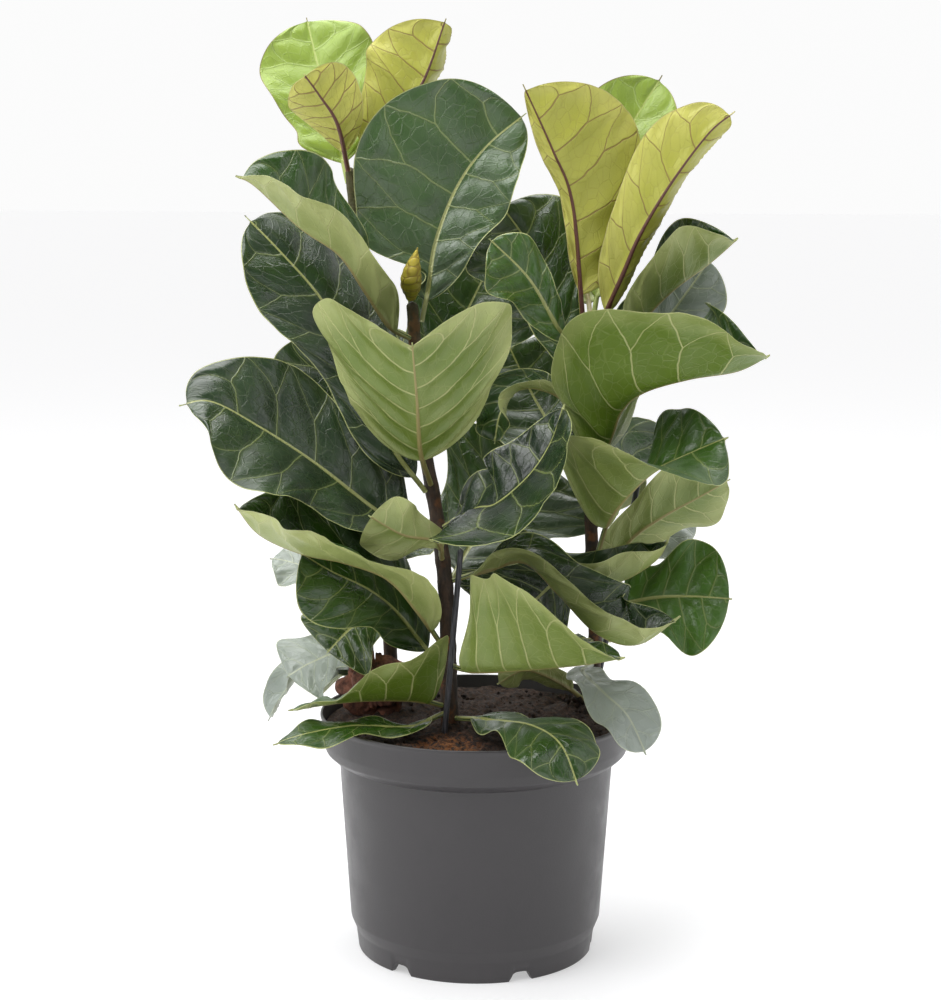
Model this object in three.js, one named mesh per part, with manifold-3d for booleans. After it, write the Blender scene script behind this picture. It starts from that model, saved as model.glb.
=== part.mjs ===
// Potted fiddle leaf fig: three young plants, with canes, in one round nursery pot of peat.
// Millimetres, +Z up, the origin at the middle of the pot's foot, and the front towards -Y.
import * as THREE from 'three';
import { mergeVertices } from 'three/addons/utils/BufferGeometryUtils.js';
import Module from 'manifold-3d';

const wasm = await Module();
wasm.setup();

// ---- driving dimensions -------------------------------------------------------------

const pot = {
  height: 186,
  rimRadius: 120,
  rimDepth: 34, // the band under the lip
  shoulderRadius: 105.5, // the wall just under the band
  waistRadius: 97, // the wall just above the foot
  footRadius: 93,
  footHeight: 20,
  wall: 1.8,
  floorHeight: 9,
  notches: 6, // arches in the foot, which let water out
  notchWidth: 17,
  notchHeight: 7.5,
  firstNotchAngle: 22, // degrees from the front towards +X
  drainRadius: 5, // one hole in the floor behind each arch
  drainCircle: 58,
  footRing: 10, // the ring that the pot stands on, in plan, and the slopes on both its sides
  footSlope: 3,
  footEdge: 2,
  bandSlope: 5, // how far the band steps out from the wall, and in how much height
  bandRise: 6,
  bandInset: 4,
  lipInset: 2,
  lipHeight: 13,
  edge: 1, // the small bevels
  turns: 40,
};
const soilLevel = 176;
// Low mounds round the stems and a lump at the right: x, y, height and spread of each.
const mounds = [[-20, -28, 5, 26], [88, 34, 7, 24], [-67, 58, 6, 28], [96, 48, 9, 9]];
const clods = { coarse: 1.4, fine: 0.9 };
const soilRings = 8;
const soilSpokes = 36;
const gap = 0.35; // clearance between pieces that touch
const barkSides = 8;
const barkSteps = 12;

// Each stem: its middle line from deep in the soil up to the crown, and its radius at both ends.
const stems = {
  a: {
    path: [[-19, -26, 130], [-20, -25, 175], [-23, -12, 273], [-28, -4, 320], [-34, 2, 357],
      [-42, 6, 403], [-47, 8, 463], [-50, 8, 500]],
    baseRadius: 7, topRadius: 4.5,
  },
  b: {
    path: [[80, 34, 130], [88, 36, 175], [93, 32, 235], [89, 26, 315], [85, 20, 394], [85, 16, 456],
      [85, 14, 490]],
    baseRadius: 6, topRadius: 4.5,
  },
  c: {
    path: [[-66, 56, 130], [-67, 58, 179], [-72, 60, 293], [-81, 56, 420], [-93, 50, 537], [-98, 46, 600]],
    baseRadius: 6, topRadius: 4,
  },
};

// The thin canes: foot and top on a straight line, held by the soil.
const canes = {
  a: { foot: [-28, -46, 130], top: [-12, -31, 318] },
  b: { foot: [84, 46, 130], top: [128, 46, 368] },
  c: { foot: [-80, 42, 130], top: [-96, 66, 560] },
};
const caneRadius = 2.3;
const caneSides = 8;

const budSteps = 8;
const budSides = 10;
const bud = { path: [[-50.5, 7, 502], [-50.5, 4, 508], [-50, -8, 520], [-45, -13, 541]], radius: 8 };
const driedSheath = { centre: [-79, 22, 200], halfSize: [25, 12, 20] };

// The leaves, numbered from the top of each plant down. A leaf leaves its stem at height `at` and
// follows `rib`, its midrib, to the tip. `face` is the way its upper side looks, once for the whole
// leaf or at the base and the tip. `left` and `right` say how far each half is folded up from flat
// and how much it curls on from there, in degrees: [fold, curl], or the base's pair and the tip's.
// Left and right are seen from the stem, looking down on the upper side.
const leaves = [
  { name: 'leaf_a_01', plant: 'a', at: 484,
    rib: [[-38, 13, 508], [-32, 20, 545], [-16, 26, 586], [6, 30, 616], [36, 32, 641]],
    width: 166, face: [0.15, -1, 0.2], left: [4, 8, 6, 10], right: [20, 0, 20, 0],
    tone: 'mature', waist: 0.1, sweep: -0.15, tip: 0.2, lobe: [-0.4, 0], peak: 1.3, size: [1, 0.52] },
  { name: 'leaf_a_02', plant: 'a', at: 473,
    rib: [[-66, -12, 483], [-83, -28, 510], [-101, -40, 537], [-129, -50, 557], [-160, -58, 586], [-174,
      -60, 593]],
    width: 116, face: [0, 0, 1], left: [60, 5, 15, 10], right: [76, 10, 70, 10],
    tone: 'mature', size: [0.7, 1] },
  { name: 'leaf_a_03', plant: 'a', at: 402,
    rib: [[-30, 45, 445], [-8, 66, 490], [12, 80, 530]],
    width: 120, face: [0, -1, 0.5], left: [10, 0], right: [10, 0],
    tone: 'mature' },
  { name: 'leaf_a_04', plant: 'a', at: 362,
    rib: [[-42, -40, 392], [-44, -70, 434], [-47, -86, 476]],
    width: 162, face: [0, 1, 0.3], left: [10, 18], right: [20, 25],
    tone: 'mature', waist: 0, lobe: 0.1, sweep: 0.75, notch: 1, tip: 0, stalk: 38, peak: 1.1,
      size: [0.95, 1] },
  { name: 'leaf_a_05', plant: 'a', at: 357,
    rib: [[-66, -18, 397], [-93, -13, 462], [-118, -9, 504], [-148, -6, 538], [-174, -3, 564]],
    width: 124, face: [-0.2, -1, 0.4], left: [28, 10, 20, 10], right: [-45, -10],
    tone: 'mature', size: [0.72, 1.05] },
  { name: 'leaf_a_06', plant: 'a', at: 329,
    rib: [[-2, -30, 348], [14, -44, 354], [38, -50, 376], [54, -46, 400], [64, -40, 428]],
    width: 140, face: [[0.3, -0.6, 0.9], [-0.5, 0, 1]], left: [50, 0, 45, 0], right: [-10, 0, 10, 0],
    tone: 'mature', waist: 0, lobe: [0, -0.5], sweep: -0.1, stalk: 12, size: [0.55, 0.9], peak: 0.8,
      tip: 0.3 },
  { name: 'leaf_a_07', plant: 'a', at: 327,
    rib: [[20, 4, 320], [50, 2, 300], [80, -2, 288], [108, -6, 289], [136, -8, 306], [146, -8, 324]],
    width: 60, face: [0, 0, 1], left: [80, 0], right: [70, 0, 60, 0],
    tone: 'mature' },
  { name: 'leaf_a_08', plant: 'a', at: 324,
    rib: [[-69, -18, 340], [-121, -30, 382], [-160, -44, 410], [-194, -56, 430], [-217, -62, 428]],
    width: 138, face: [0, -0.7, 0.7], left: [45, -10, 5, -10], right: [25, 10, 10, 10],
    tone: 'mature', sweep: 0.2, peak: 1.1, tip: 0.2, size: [1, 0.85] },
  { name: 'leaf_a_09', plant: 'a', at: 306,
    rib: [[-30, -44, 326], [-54, -64, 334], [-79, -76, 350]],
    width: 52, face: [0, 1, 0.3], left: [10, 0], right: [0, 0],
    tone: 'mature', waist: 0, lobe: 0, peak: 2.2 },
  { name: 'leaf_a_10', plant: 'a', at: 289,
    rib: [[8, -20, 300], [36, -34, 309], [62, -44, 286], [90, -50, 258], [120, -50, 250], [152, -44, 270]],
    width: 96, face: [0, 0, 1], left: [56, 0, 80, 0], right: [100, 0, 60, 0],
    tone: 'mature', size: [1, 0.55], sweep: [0.2, 0] },
  { name: 'leaf_a_11', plant: 'a', at: 288,
    rib: [[-2, 40, 312], [28, 76, 343], [52, 94, 372]],
    width: 150, face: [0, -1, 0.6], left: [10, 0], right: [10, 0],
    tone: 'mature' },
  { name: 'leaf_a_12', plant: 'a', at: 242,
    rib: [[-44, -38, 272], [-66, -50, 299], [-98, -60, 313], [-127, -66, 320], [-158, -72, 335], [-176,
      -76, 358]],
    width: 130, face: [0, 0, 1], left: [26, -4, 20, 0], right: [60, 5, 62, 0],
    tone: 'mature', sweep: 0.6 },
  { name: 'leaf_a_13', plant: 'a', at: 226,
    rib: [[-8, -52, 230], [12, -66, 233], [46, -82, 239], [80, -94, 245], [107, -100, 251]],
    width: 190, face: [0, 0, 1], left: [30, 0, 20, 0], right: [115, 0, 25, 0],
    tone: 'mature', peak: 0.9, waist: 0.2, lobe: 0.05, tip: 0.6, sweep: -0.1, size: [0.5, 1], stalk: 30 },
  { name: 'leaf_a_14', plant: 'a', at: 225,
    rib: [[-58, -28, 266], [-80, -42, 288], [-109, -54, 305], [-132, -58, 320]],
    width: 92, face: [0, -0.6, 0.8], left: [-5, -20], right: [10, 10],
    tone: 'mature' },
  { name: 'leaf_a_15', plant: 'a', at: 196,
    rib: [[-50, -46, 206], [-94, -60, 208], [-139, -70, 203]],
    width: 116, face: [0, 0, 1], left: [85, 0, 10, 0], right: [10, 0, -20, 0],
    tone: 'mature', waist: 0, lobe: [0.25, 0], peak: 0.5, sweep: [-0.1, 0.2], stalk: 16, size: [0.85,
      0.4] },
  { name: 'leaf_a_16', plant: 'a', at: 190,
    rib: [[-50, -62, 189], [-90, -80, 194], [-124, -92, 191], [-148, -97, 184]],
    width: 36, face: [0, -0.2, 1], left: [-15, -5], right: [-5, 0],
    tone: 'mature', tip: 0.8 },
  { name: 'leaf_a_17', plant: 'a', at: 186,
    rib: [[12, -54, 192], [40, -92, 198], [60, -122, 192], [72, -136, 166]],
    width: 72, face: [0, -0.3, 1], left: [-12, -5], right: [-5, -10],
    tone: 'mature' },
  { name: 'leaf_b_01', plant: 'b', at: 501,
    rib: [[70, 0, 574], [54, -12, 614], [32, -20, 660]],
    width: 136, face: [0, 1, 0.2], left: [16, 10], right: [20, 10, 40, 10],
    tone: 'tender', waist: 0.1, tip: 0.3, wave: [2, 2, 0, 0.3], size: [1, 0.15], sweep: [0.1, 0.2],
      peak: 1.2 },
  { name: 'leaf_b_02', plant: 'b', at: 487,
    rib: [[101, 44, 561], [113, 58, 622], [141, 64, 671]],
    width: 82, face: [0, -1, 0.3], left: [10, 10], right: [20, 10],
    tone: 'young', waist: 0.1, tip: 0.5 },
  { name: 'leaf_b_03', plant: 'b', at: 479,
    rib: [[108, 0, 521], [120, -8, 551], [141, -16, 588], [168, -20, 625], [187, -22, 641]],
    width: 88, face: [0, 1, 0.2], left: [80, 10], right: [24, 5],
    tone: 'tender', waist: 0.1, tip: 0.5, wave: [2, 2, 0, 0.3], size: [0.85, 0.85] },
  { name: 'leaf_b_04', plant: 'b', at: 478,
    rib: [[86, 60, 500], [76, 98, 548], [66, 106, 580]],
    width: 70, face: [0, 1, 0.4], left: [20, 10], right: [20, 10],
    tone: 'mature', stalk: 40 },
  { name: 'leaf_b_05', plant: 'b', at: 458,
    rib: [[62, -6, 478], [38, -20, 518], [8, -30, 548]],
    width: 80, face: [0, -1, 0.6], left: [20, 10], right: [10, -30],
    tone: 'mature', lobe: 0, waist: 0.35, stalk: 26, size: [1, 0.6] },
  { name: 'leaf_b_06', plant: 'b', at: 451,
    rib: [[123, 16, 485], [146, 4, 510], [173, -4, 531], [193, -8, 549]],
    width: 92, face: [0, 0, 1], left: [82, 10], right: [50, 10],
    tone: 'mature' },
  { name: 'leaf_b_07', plant: 'b', at: 434,
    rib: [[140, 50, 478], [162, 46, 507], [179, 42, 533]],
    width: 66, face: [0.3, -1, 0.5], left: [20, 0], right: [0, -20],
    tone: 'mature' },
  { name: 'leaf_b_08', plant: 'b', at: 423,
    rib: [[64, 36, 480], [42, 42, 536], [16, 44, 574]],
    width: 112, face: [0, -1, 0.5], left: [10, 10], right: [0, -20],
    tone: 'mature', lobe: 0, waist: 0.35, peak: 1.8, size: [1, 0.8] },
  { name: 'leaf_b_09', plant: 'b', at: 416,
    rib: [[56, 16, 432], [32, 16, 434], [18, 12, 416], [13, 8, 392]],
    width: 56, face: [0, -0.3, 1], left: [72, 5], right: [72, 5],
    tone: 'mature' },
  { name: 'leaf_b_10', plant: 'b', at: 402,
    rib: [[108, 61, 384], [122, 85, 370], [132, 105, 346]],
    width: 94, face: [0, -0.8, 0.7], left: [10, 0], right: [10, 0],
    tone: 'mature' },
  { name: 'leaf_b_11', plant: 'b', at: 366,
    rib: [[101, -7, 402], [107, -21, 422], [122, -42, 438], [154, -57, 449], [188, -61, 455], [212, -56,
      466]],
    width: 170, face: [[-1, 0, 0.5], [0, 0, 1]], left: [-25, 0, 85, 0], right: [132, 0, 32, -40],
    tone: 'mature', waist: 0, lobe: [-0.3, -0.1], sweep: [0.65, 0.08], stalk: 20, size: [1.0, 0.9],
      peak: 0.82 },
  { name: 'leaf_b_12', plant: 'b', at: 364,
    rib: [[65, 60, 389], [44, 88, 422], [24, 104, 462]],
    width: 146, face: [0, -1, 0.5], left: [10, 0], right: [10, 0],
    tone: 'mature' },
  { name: 'leaf_b_13', plant: 'b', at: 306,
    rib: [[101, 5, 335], [114, -12, 357], [132, -28, 377], [159, -38, 392], [185, -42, 404]],
    width: 170, face: [[-0.6, 0.3, 0.8], [0, -0.5, 0.85]], left: [10, 0, 30, 0], right: [112, 0, -25, 0],
    tone: 'mature', waist: 0.1, lobe: [-0.2, 0.3], sweep: [0.3, 0.2], size: [0.65, 0.95], peak: 0.9,
      stalk: 26 },
  { name: 'leaf_b_14', plant: 'b', at: 299,
    rib: [[70, 50, 284], [48, 58, 262], [22, 62, 232]],
    width: 130, face: [0, -0.8, 0.6], left: [15, 0], right: [15, 0],
    tone: 'mature' },
  { name: 'leaf_b_15', plant: 'b', at: 272,
    rib: [[118, 70, 296], [146, 76, 318], [172, 78, 336]],
    width: 66, face: [0, -0.7, 0.8], left: [0, 0], right: [0, 0],
    tone: 'mature' },
  { name: 'leaf_b_16', plant: 'b', at: 270,
    rib: [[107, 30, 292], [120, 27, 316], [144, 21, 335], [173, 17, 352], [194, 14, 365]],
    width: 70, face: [0, 1, 0.5], left: [20, 0], right: [20, 0],
    tone: 'mature' },
  { name: 'leaf_b_17', plant: 'b', at: 260,
    rib: [[134, 12, 272], [164, 5, 275], [196, 0, 274]],
    width: 95, face: [0, -0.8, 0.6], left: [10, 0], right: [-5, -20],
    tone: 'mature', lobe: 0.3, sweep: 0.1, tip: 0.1 },
  { name: 'leaf_b_18', plant: 'b', at: 234,
    rib: [[84, 13, 240], [72, 8, 236], [60, 5, 231]],
    width: 26, face: [0, -0.5, 1], left: [20, 0], right: [20, 0],
    tone: 'mature', stalk: 8, wave: [1, 2, 0, 0.3] },
  { name: 'leaf_b_19', plant: 'b', at: 226,
    rib: [[92, 74, 224], [82, 98, 211], [72, 112, 194]],
    width: 96, face: [0, 0, 1], left: [15, 0], right: [15, 0],
    tone: 'mature' },
  { name: 'leaf_b_20', plant: 'b', at: 216,
    rib: [[82, 2, 217], [86, -22, 216], [97, -42, 209], [113, -58, 196], [126, -70, 170]],
    width: 52, face: [0, -0.5, 1], left: [10, 0], right: [12, 0],
    tone: 'mature' },
  { name: 'leaf_b_21', plant: 'b', at: 187,
    rib: [[65, 14, 205], [38, 4, 217], [16, -2, 207]],
    width: 36, face: [0, 1, 0.6], left: [20, 0], right: [20, 0],
    tone: 'mature', wave: [1, 2, 0, 0.3] },
  { name: 'leaf_c_01', plant: 'c', at: 598,
    rib: [[-106, 22, 632], [-119, 14, 653], [-130, 10, 668]],
    width: 62, face: [0, 1, 0.3], left: [20, 10], right: [30, 10],
    tone: 'tender', waist: 0.05, lobe: 0, sweep: 0.2, notch: 1, tip: 0.3, wave: [1, 2, 0, 0.3] },
  { name: 'leaf_c_02', plant: 'c', at: 594,
    rib: [[-72, 46, 626], [-44, 50, 662], [-25, 52, 712]],
    width: 102, face: [0, 1, 0.2], left: [85, 20], right: [6, 6],
    tone: 'tender', waist: 0, sweep: 0.1, tip: 0.5, size: [0.85, 0.95] },
  { name: 'leaf_c_03', plant: 'c', at: 588,
    rib: [[-111, 62, 635], [-124, 78, 676], [-134, 90, 715]],
    width: 92, face: [0, -1, 0.4], left: [8, 10], right: [10, 10],
    tone: 'young', waist: 0.05, lobe: 0.25, sweep: [0.1, 0.35], tip: 0.2 },
  { name: 'leaf_c_04', plant: 'c', at: 341,
    rib: [[-89, 92, 384], [-103, 112, 431], [-111, 122, 478]],
    width: 120, face: [0, -1, 0.5], left: [10, 0], right: [10, 0],
    tone: 'mature' },
  { name: 'leaf_c_05', plant: 'c', at: 276,
    rib: [[-58, 74, 298], [-42, 86, 300], [-24, 98, 292]],
    width: 84, face: [0, -0.3, 1], left: [15, 0], right: [15, 0],
    tone: 'mature' },
  { name: 'leaf_c_06', plant: 'c', at: 264,
    rib: [[-82, 30, 257], [-99, 18, 245], [-116, 10, 228]],
    width: 72, face: [0, -1, 0.6], left: [0, 0], right: [0, 0],
    tone: 'mature' },
  { name: 'leaf_c_07', plant: 'c', at: 250,
    rib: [[-126, 84, 276], [-149, 88, 285], [-167, 90, 288]],
    width: 64, face: [0, -0.4, 1], left: [0, 0], right: [0, 0],
    tone: 'mature' },
  { name: 'leaf_c_08', plant: 'c', at: 206,
    rib: [[-104, 100, 204], [-142, 104, 190], [-160, 104, 170], [-171, 102, 150]],
    width: 40, face: [0, -0.3, 1], left: [60, 0], right: [60, 0],
    tone: 'mature' },
  { name: 'leaf_c_09', plant: 'c', at: 201,
    rib: [[-106, 84, 212], [-133, 82, 204], [-153, 76, 193]],
    width: 76, face: [0, -0.6, 1], left: [0, 0], right: [0, 0],
    tone: 'mature' },
  { name: 'leaf_c_10', plant: 'c', at: 190,
    rib: [[-80, 88, 192], [-106, 100, 192], [-128, 102, 172]],
    width: 80, face: [0, 0, 1], left: [15, 0], right: [15, 0],
    tone: 'mature' },
];
const leafDefaults = {
  stalk: 16, // length of the bare stalk
  waist: 0.25, // how much the blade narrows below its middle
  lobe: 0.1, // roundness of the blade's base; a pair where the left and the right half differ
  peak: 1.42, // higher puts the widest place nearer to the tip
  sweep: 0.4, // how far the side veins lean forward; a pair where the halves differ
  notch: 0, // 1 lets the margin run on past the tip of the rib
  tip: 0.45, // how pointed the tip is
  size: [1, 1], // share of the width that the left and the right half have
  wave: [4, 2.5, 0, 0.4], // margin waves: height, number, and start on the left and the right
};
const blade = { thickness: 1.2, ribDepth: 1.4, stalkRadius: 2, keel: 7 };
const rows = [0, 0.09, 0.24, 0.42, 0.6, 0.78, 0.93, 1];
const wideColumns = [-1, -0.6, -0.22, 0, 0.22, 0.6, 1];
const narrowColumns = [-1, -0.5, 0, 0.5, 1];
const narrow = 90; // leaves under this width take the narrow columns

// ---- materials ----------------------------------------------------------------------

const plastic = new THREE.MeshStandardMaterial({ color: 0x4b4849, roughness: 0.55, metalness: 0 });
const peat = new THREE.MeshStandardMaterial({ color: 0x32281f, roughness: 1, metalness: 0 });
const bark = new THREE.MeshStandardMaterial({ color: 0x4a3626, roughness: 0.9, metalness: 0 });
const cane = new THREE.MeshStandardMaterial({ color: 0x3a3a3c, roughness: 0.5, metalness: 0 });
const sheath = new THREE.MeshStandardMaterial({ color: 0x5c3a2b, roughness: 0.9, metalness: 0 });
const leafTones = {
  mature: new THREE.MeshStandardMaterial({ color: 0x2f4a30, roughness: 0.35, metalness: 0 }),
  young: new THREE.MeshStandardMaterial({ color: 0x86aa50, roughness: 0.4, metalness: 0 }),
  tender: new THREE.MeshStandardMaterial({ color: 0xa5aa46, roughness: 0.5, metalness: 0 }),
};

// ---- helpers ------------------------------------------------------------------------

const vector = (p) => new THREE.Vector3(...p);
const curveThrough = (points) => new THREE.CatmullRomCurve3(points, false, 'catmullrom', 0.5);
const radians = THREE.MathUtils.degToRad;
const mix = THREE.MathUtils.lerp;
const bump = (x, middle, width) => Math.exp(-(((x - middle) / width) ** 2));

function geometryOf(vertices, triangles) {
  const geometry = new THREE.BufferGeometry();
  geometry.setAttribute('position', new THREE.Float32BufferAttribute(vertices.flat(), 3));
  geometry.setIndex(triangles.flat());
  geometry.computeVertexNormals();
  return geometry;
}

function solidOf(geometry) {
  const bare = geometry.clone();
  bare.deleteAttribute('normal');
  bare.deleteAttribute('uv');
  const merged = mergeVertices(bare, 1e-4);
  return new wasm.Manifold(new wasm.Mesh({
    numProp: 3,
    vertProperties: merged.attributes.position.array,
    triVerts: new Uint32Array(merged.index.array),
  }));
}

function geometryFrom(solid) {
  const mesh = solid.getMesh();
  const geometry = new THREE.BufferGeometry();
  geometry.setAttribute('position', new THREE.BufferAttribute(mesh.vertProperties, 3));
  geometry.setIndex(new THREE.BufferAttribute(mesh.triVerts, 1));
  return geometry;
}

// A closed tube along a curve, with a radius that runs from one end's value to the other's.
function taperedTube(curve, startRadius, endRadius, steps, sides) {
  const frames = curve.computeFrenetFrames(steps, false);
  const vertices = [];
  const triangles = [];
  for (let i = 0; i <= steps; i += 1) {
    const centre = curve.getPointAt(i / steps);
    const radius = mix(startRadius, endRadius, i / steps);
    for (let k = 0; k < sides; k += 1) {
      const angle = (2 * Math.PI * k) / sides;
      const spoke = frames.normals[i].clone().multiplyScalar(Math.cos(angle))
        .addScaledVector(frames.binormals[i], Math.sin(angle));
      vertices.push(centre.clone().addScaledVector(spoke, radius).toArray());
    }
  }
  for (let i = 0; i < steps; i += 1) {
    for (let k = 0; k < sides; k += 1) {
      const here = i * sides + k;
      const beside = i * sides + ((k + 1) % sides);
      triangles.push([here, beside, beside + sides], [here, beside + sides, here + sides]);
    }
  }
  for (let k = 1; k < sides - 1; k += 1) {
    const last = steps * sides;
    triangles.push([0, k + 1, k], [last, last + k, last + k + 1]);
  }
  return geometryOf(vertices, triangles);
}

// ---- pot and soil -------------------------------------------------------------------

function makePot() {
  const bandBottom = pot.height - pot.rimDepth;
  const step = pot.waistRadius - pot.footRadius;
  const waistHeight = pot.footHeight + pot.bandRise;
  const outside = [
    [0, pot.floorHeight], [pot.footRadius - pot.footRing, pot.floorHeight],
    [pot.footRadius - pot.footRing + pot.footSlope, 0], [pot.footRadius - pot.footEdge, 0],
    [pot.footRadius, pot.footHeight - step], [pot.waistRadius, waistHeight],
    [pot.shoulderRadius, bandBottom - pot.edge],
    [pot.shoulderRadius + pot.bandSlope, bandBottom + pot.edge],
    [pot.rimRadius - pot.bandInset, bandBottom + pot.bandRise],
    [pot.rimRadius - pot.lipInset, bandBottom + pot.lipHeight],
    [pot.rimRadius, pot.height - pot.edge], [pot.rimRadius - 0.7 * pot.edge, pot.height],
  ];
  const inside = [
    [pot.rimRadius - pot.wall, pot.height],
    [pot.rimRadius - pot.lipInset - pot.wall, bandBottom + pot.lipHeight],
    [pot.shoulderRadius - pot.wall, bandBottom - pot.edge], [pot.waistRadius - pot.wall, waistHeight],
    [pot.footRadius - pot.wall - pot.edge, pot.footHeight],
    [pot.footRadius - pot.footRing + pot.edge, pot.floorHeight + pot.wall],
    [0, pot.floorHeight + pot.wall],
  ];
  const profile = [...outside, ...inside].map(([r, z]) => new THREE.Vector2(r, z));
  const shell = new THREE.LatheGeometry([...profile, profile[0]], pot.turns);
  shell.rotateX(Math.PI / 2);
  let solid = solidOf(shell);
  for (let k = 0; k < pot.notches; k += 1) {
    const angle = radians(pot.firstNotchAngle + (360 / pot.notches) * k - 90);
    const arch = new THREE.BoxGeometry(2 * pot.footRing + step, pot.notchWidth, 2 * pot.notchHeight);
    arch.rotateZ(angle);
    arch.translate(pot.footRadius * Math.cos(angle), pot.footRadius * Math.sin(angle), 0);
    solid = solid.subtract(solidOf(arch));
    const drain = new THREE.CylinderGeometry(pot.drainRadius, pot.drainRadius, pot.footHeight, 10);
    drain.rotateX(Math.PI / 2);
    drain.translate(pot.drainCircle * Math.cos(angle), pot.drainCircle * Math.sin(angle), pot.floorHeight);
    solid = solid.subtract(solidOf(drain));
  }
  return geometryFrom(solid);
}

// Height of the peat over its level: the mounds and, all over, small clods.
function peatHeight(x, y) {
  const coarse = clods.coarse * Math.sin(x / 6.1 + 2) * Math.cos(y / 7.3);
  const fine = clods.fine * Math.sin(x / 3.2 - y / 4.1);
  const heap = ([cx, cy, height, spread]) => {
    const away = (x - cx) ** 2 + (y - cy) ** 2;
    return height * Math.exp(-away / spread ** 2);
  };
  return mounds.reduce((sum, mound) => sum + heap(mound), coarse + fine);
}

function makeSoil() {
  const rings = soilRings;
  const spokes = soilSpokes;
  const bottom = pot.floorHeight + pot.wall + gap;
  const bandBottom = pot.height - pot.rimDepth;
  const inset = pot.wall + gap;
  const rimInside = pot.rimRadius - pot.lipInset - inset;
  const side = [
    [rimInside, soilLevel], [rimInside, bandBottom + pot.lipHeight + pot.edge],
    [pot.shoulderRadius - inset, bandBottom - pot.edge],
    [pot.waistRadius - inset, pot.footHeight + pot.bandRise + pot.edge],
    [pot.footRadius - pot.footRing, bottom],
  ];
  const vertices = [[0, 0, soilLevel + peatHeight(0, 0)]];
  const triangles = [];
  const addRing = (radius, heightAt) => {
    for (let k = 0; k < spokes; k += 1) {
      const angle = (2 * Math.PI * k) / spokes;
      const x = radius * Math.cos(angle);
      const y = radius * Math.sin(angle);
      vertices.push([x, y, heightAt(x, y)]);
    }
  };
  for (let i = 1; i < rings; i += 1) {
    addRing((i / rings) * side[0][0], (x, y) => soilLevel + peatHeight(x, y));
  }
  side.forEach(([radius, z]) => addRing(radius, () => z));
  const ringCount = rings - 1 + side.length;
  const at = (ring, k) => 1 + (ring - 1) * spokes + (k % spokes);
  for (let k = 0; k < spokes; k += 1) {
    triangles.push([0, at(1, k), at(1, k + 1)]);
    for (let ring = 1; ring < ringCount; ring += 1) {
      triangles.push([at(ring, k), at(ring + 1, k), at(ring + 1, k + 1)]);
      triangles.push([at(ring, k), at(ring + 1, k + 1), at(ring, k + 1)]);
    }
  }
  vertices.push([0, 0, bottom]);
  for (let k = 0; k < spokes; k += 1) {
    triangles.push([vertices.length - 1, at(ringCount, k + 1), at(ringCount, k)]);
  }
  let solid = solidOf(geometryOf(vertices, triangles));
  for (const stem of Object.values(stems)) solid = solid.subtract(solidOf(stemGeometry(stem, gap)));
  for (const stick of Object.values(canes)) solid = solid.subtract(solidOf(caneGeometry(stick, gap)));
  return geometryFrom(solid);
}

// ---- stems, canes, bud, dried sheath --------------------------------------------------

function stemGeometry(stem, extra = 0) {
  const curve = curveThrough(stem.path.map(vector));
  return taperedTube(curve, stem.baseRadius + extra, stem.topRadius + extra, barkSteps, barkSides);
}

function caneGeometry(stick, extra = 0) {
  const curve = new THREE.LineCurve3(vector(stick.foot), vector(stick.top));
  return taperedTube(curve, caneRadius + extra, caneRadius + extra, 1, caneSides);
}

// The young leaf on the crown of plant a, still rolled up: a spindle along a curve.
function budGeometry() {
  const curve = curveThrough(bud.path.map(vector));
  const spindle = taperedTube(curve, 1, 1, budSteps, budSides);
  const position = spindle.attributes.position;
  for (let i = 0; i < position.count; i += 1) {
    const share = Math.floor(i / budSides) / budSteps;
    const centre = curve.getPointAt(share);
    const radius = Math.max(1.5, bud.radius * Math.sin(Math.PI * (0.12 + 0.88 * share) ** 0.9));
    const spoke = new THREE.Vector3().fromBufferAttribute(position, i).sub(centre);
    const p = centre.addScaledVector(spoke, radius);
    position.setXYZ(i, p.x, p.y, p.z);
  }
  return spindle;
}

// The dried sheath that lies crumpled on the peat: a ball pressed flat and pushed in and out.
function sheathGeometry() {
  const ball = new THREE.SphereGeometry(1, 14, 9);
  const position = ball.attributes.position;
  for (let i = 0; i < position.count; i += 1) {
    const p = new THREE.Vector3().fromBufferAttribute(position, i);
    const turn = Math.atan2(p.y, p.x);
    const crumple = 1 + 0.22 * Math.sin(3 * turn + 4 * p.z) + 0.14 * Math.sin(5 * turn - 3 * p.z);
    p.multiplyScalar(crumple).multiply(vector(driedSheath.halfSize)).add(vector(driedSheath.centre));
    position.setXYZ(i, p.x, p.y, p.z);
  }
  return geometryFrom(solidOf(ball));
}

// ---- leaves -------------------------------------------------------------------------

// Where a leaf starts: just off the stem's bark at its height, on the side that its rib goes to.
function ribCurve(leaf) {
  const stem = stems[leaf.plant];
  const stemCurve = curveThrough(stem.path.map(vector));
  let share = 0.5;
  for (let step = 0.25; step > 1e-4; step /= 2) {
    share += stemCurve.getPointAt(share).z < leaf.at ? step : -step;
  }
  const node = stemCurve.getPointAt(share);
  const axis = stemCurve.getTangentAt(share);
  const outward = vector(leaf.rib[0]).sub(node);
  const steepness = Math.abs(outward.clone().normalize().dot(axis));
  outward.addScaledVector(axis, -outward.dot(axis)).normalize();
  const radius = mix(stem.baseRadius, stem.topRadius, share);
  const start = node.addScaledVector(outward, radius + gap + blade.stalkRadius * steepness);
  return curveThrough([start, ...leaf.rib.map(vector)]);
}

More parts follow.
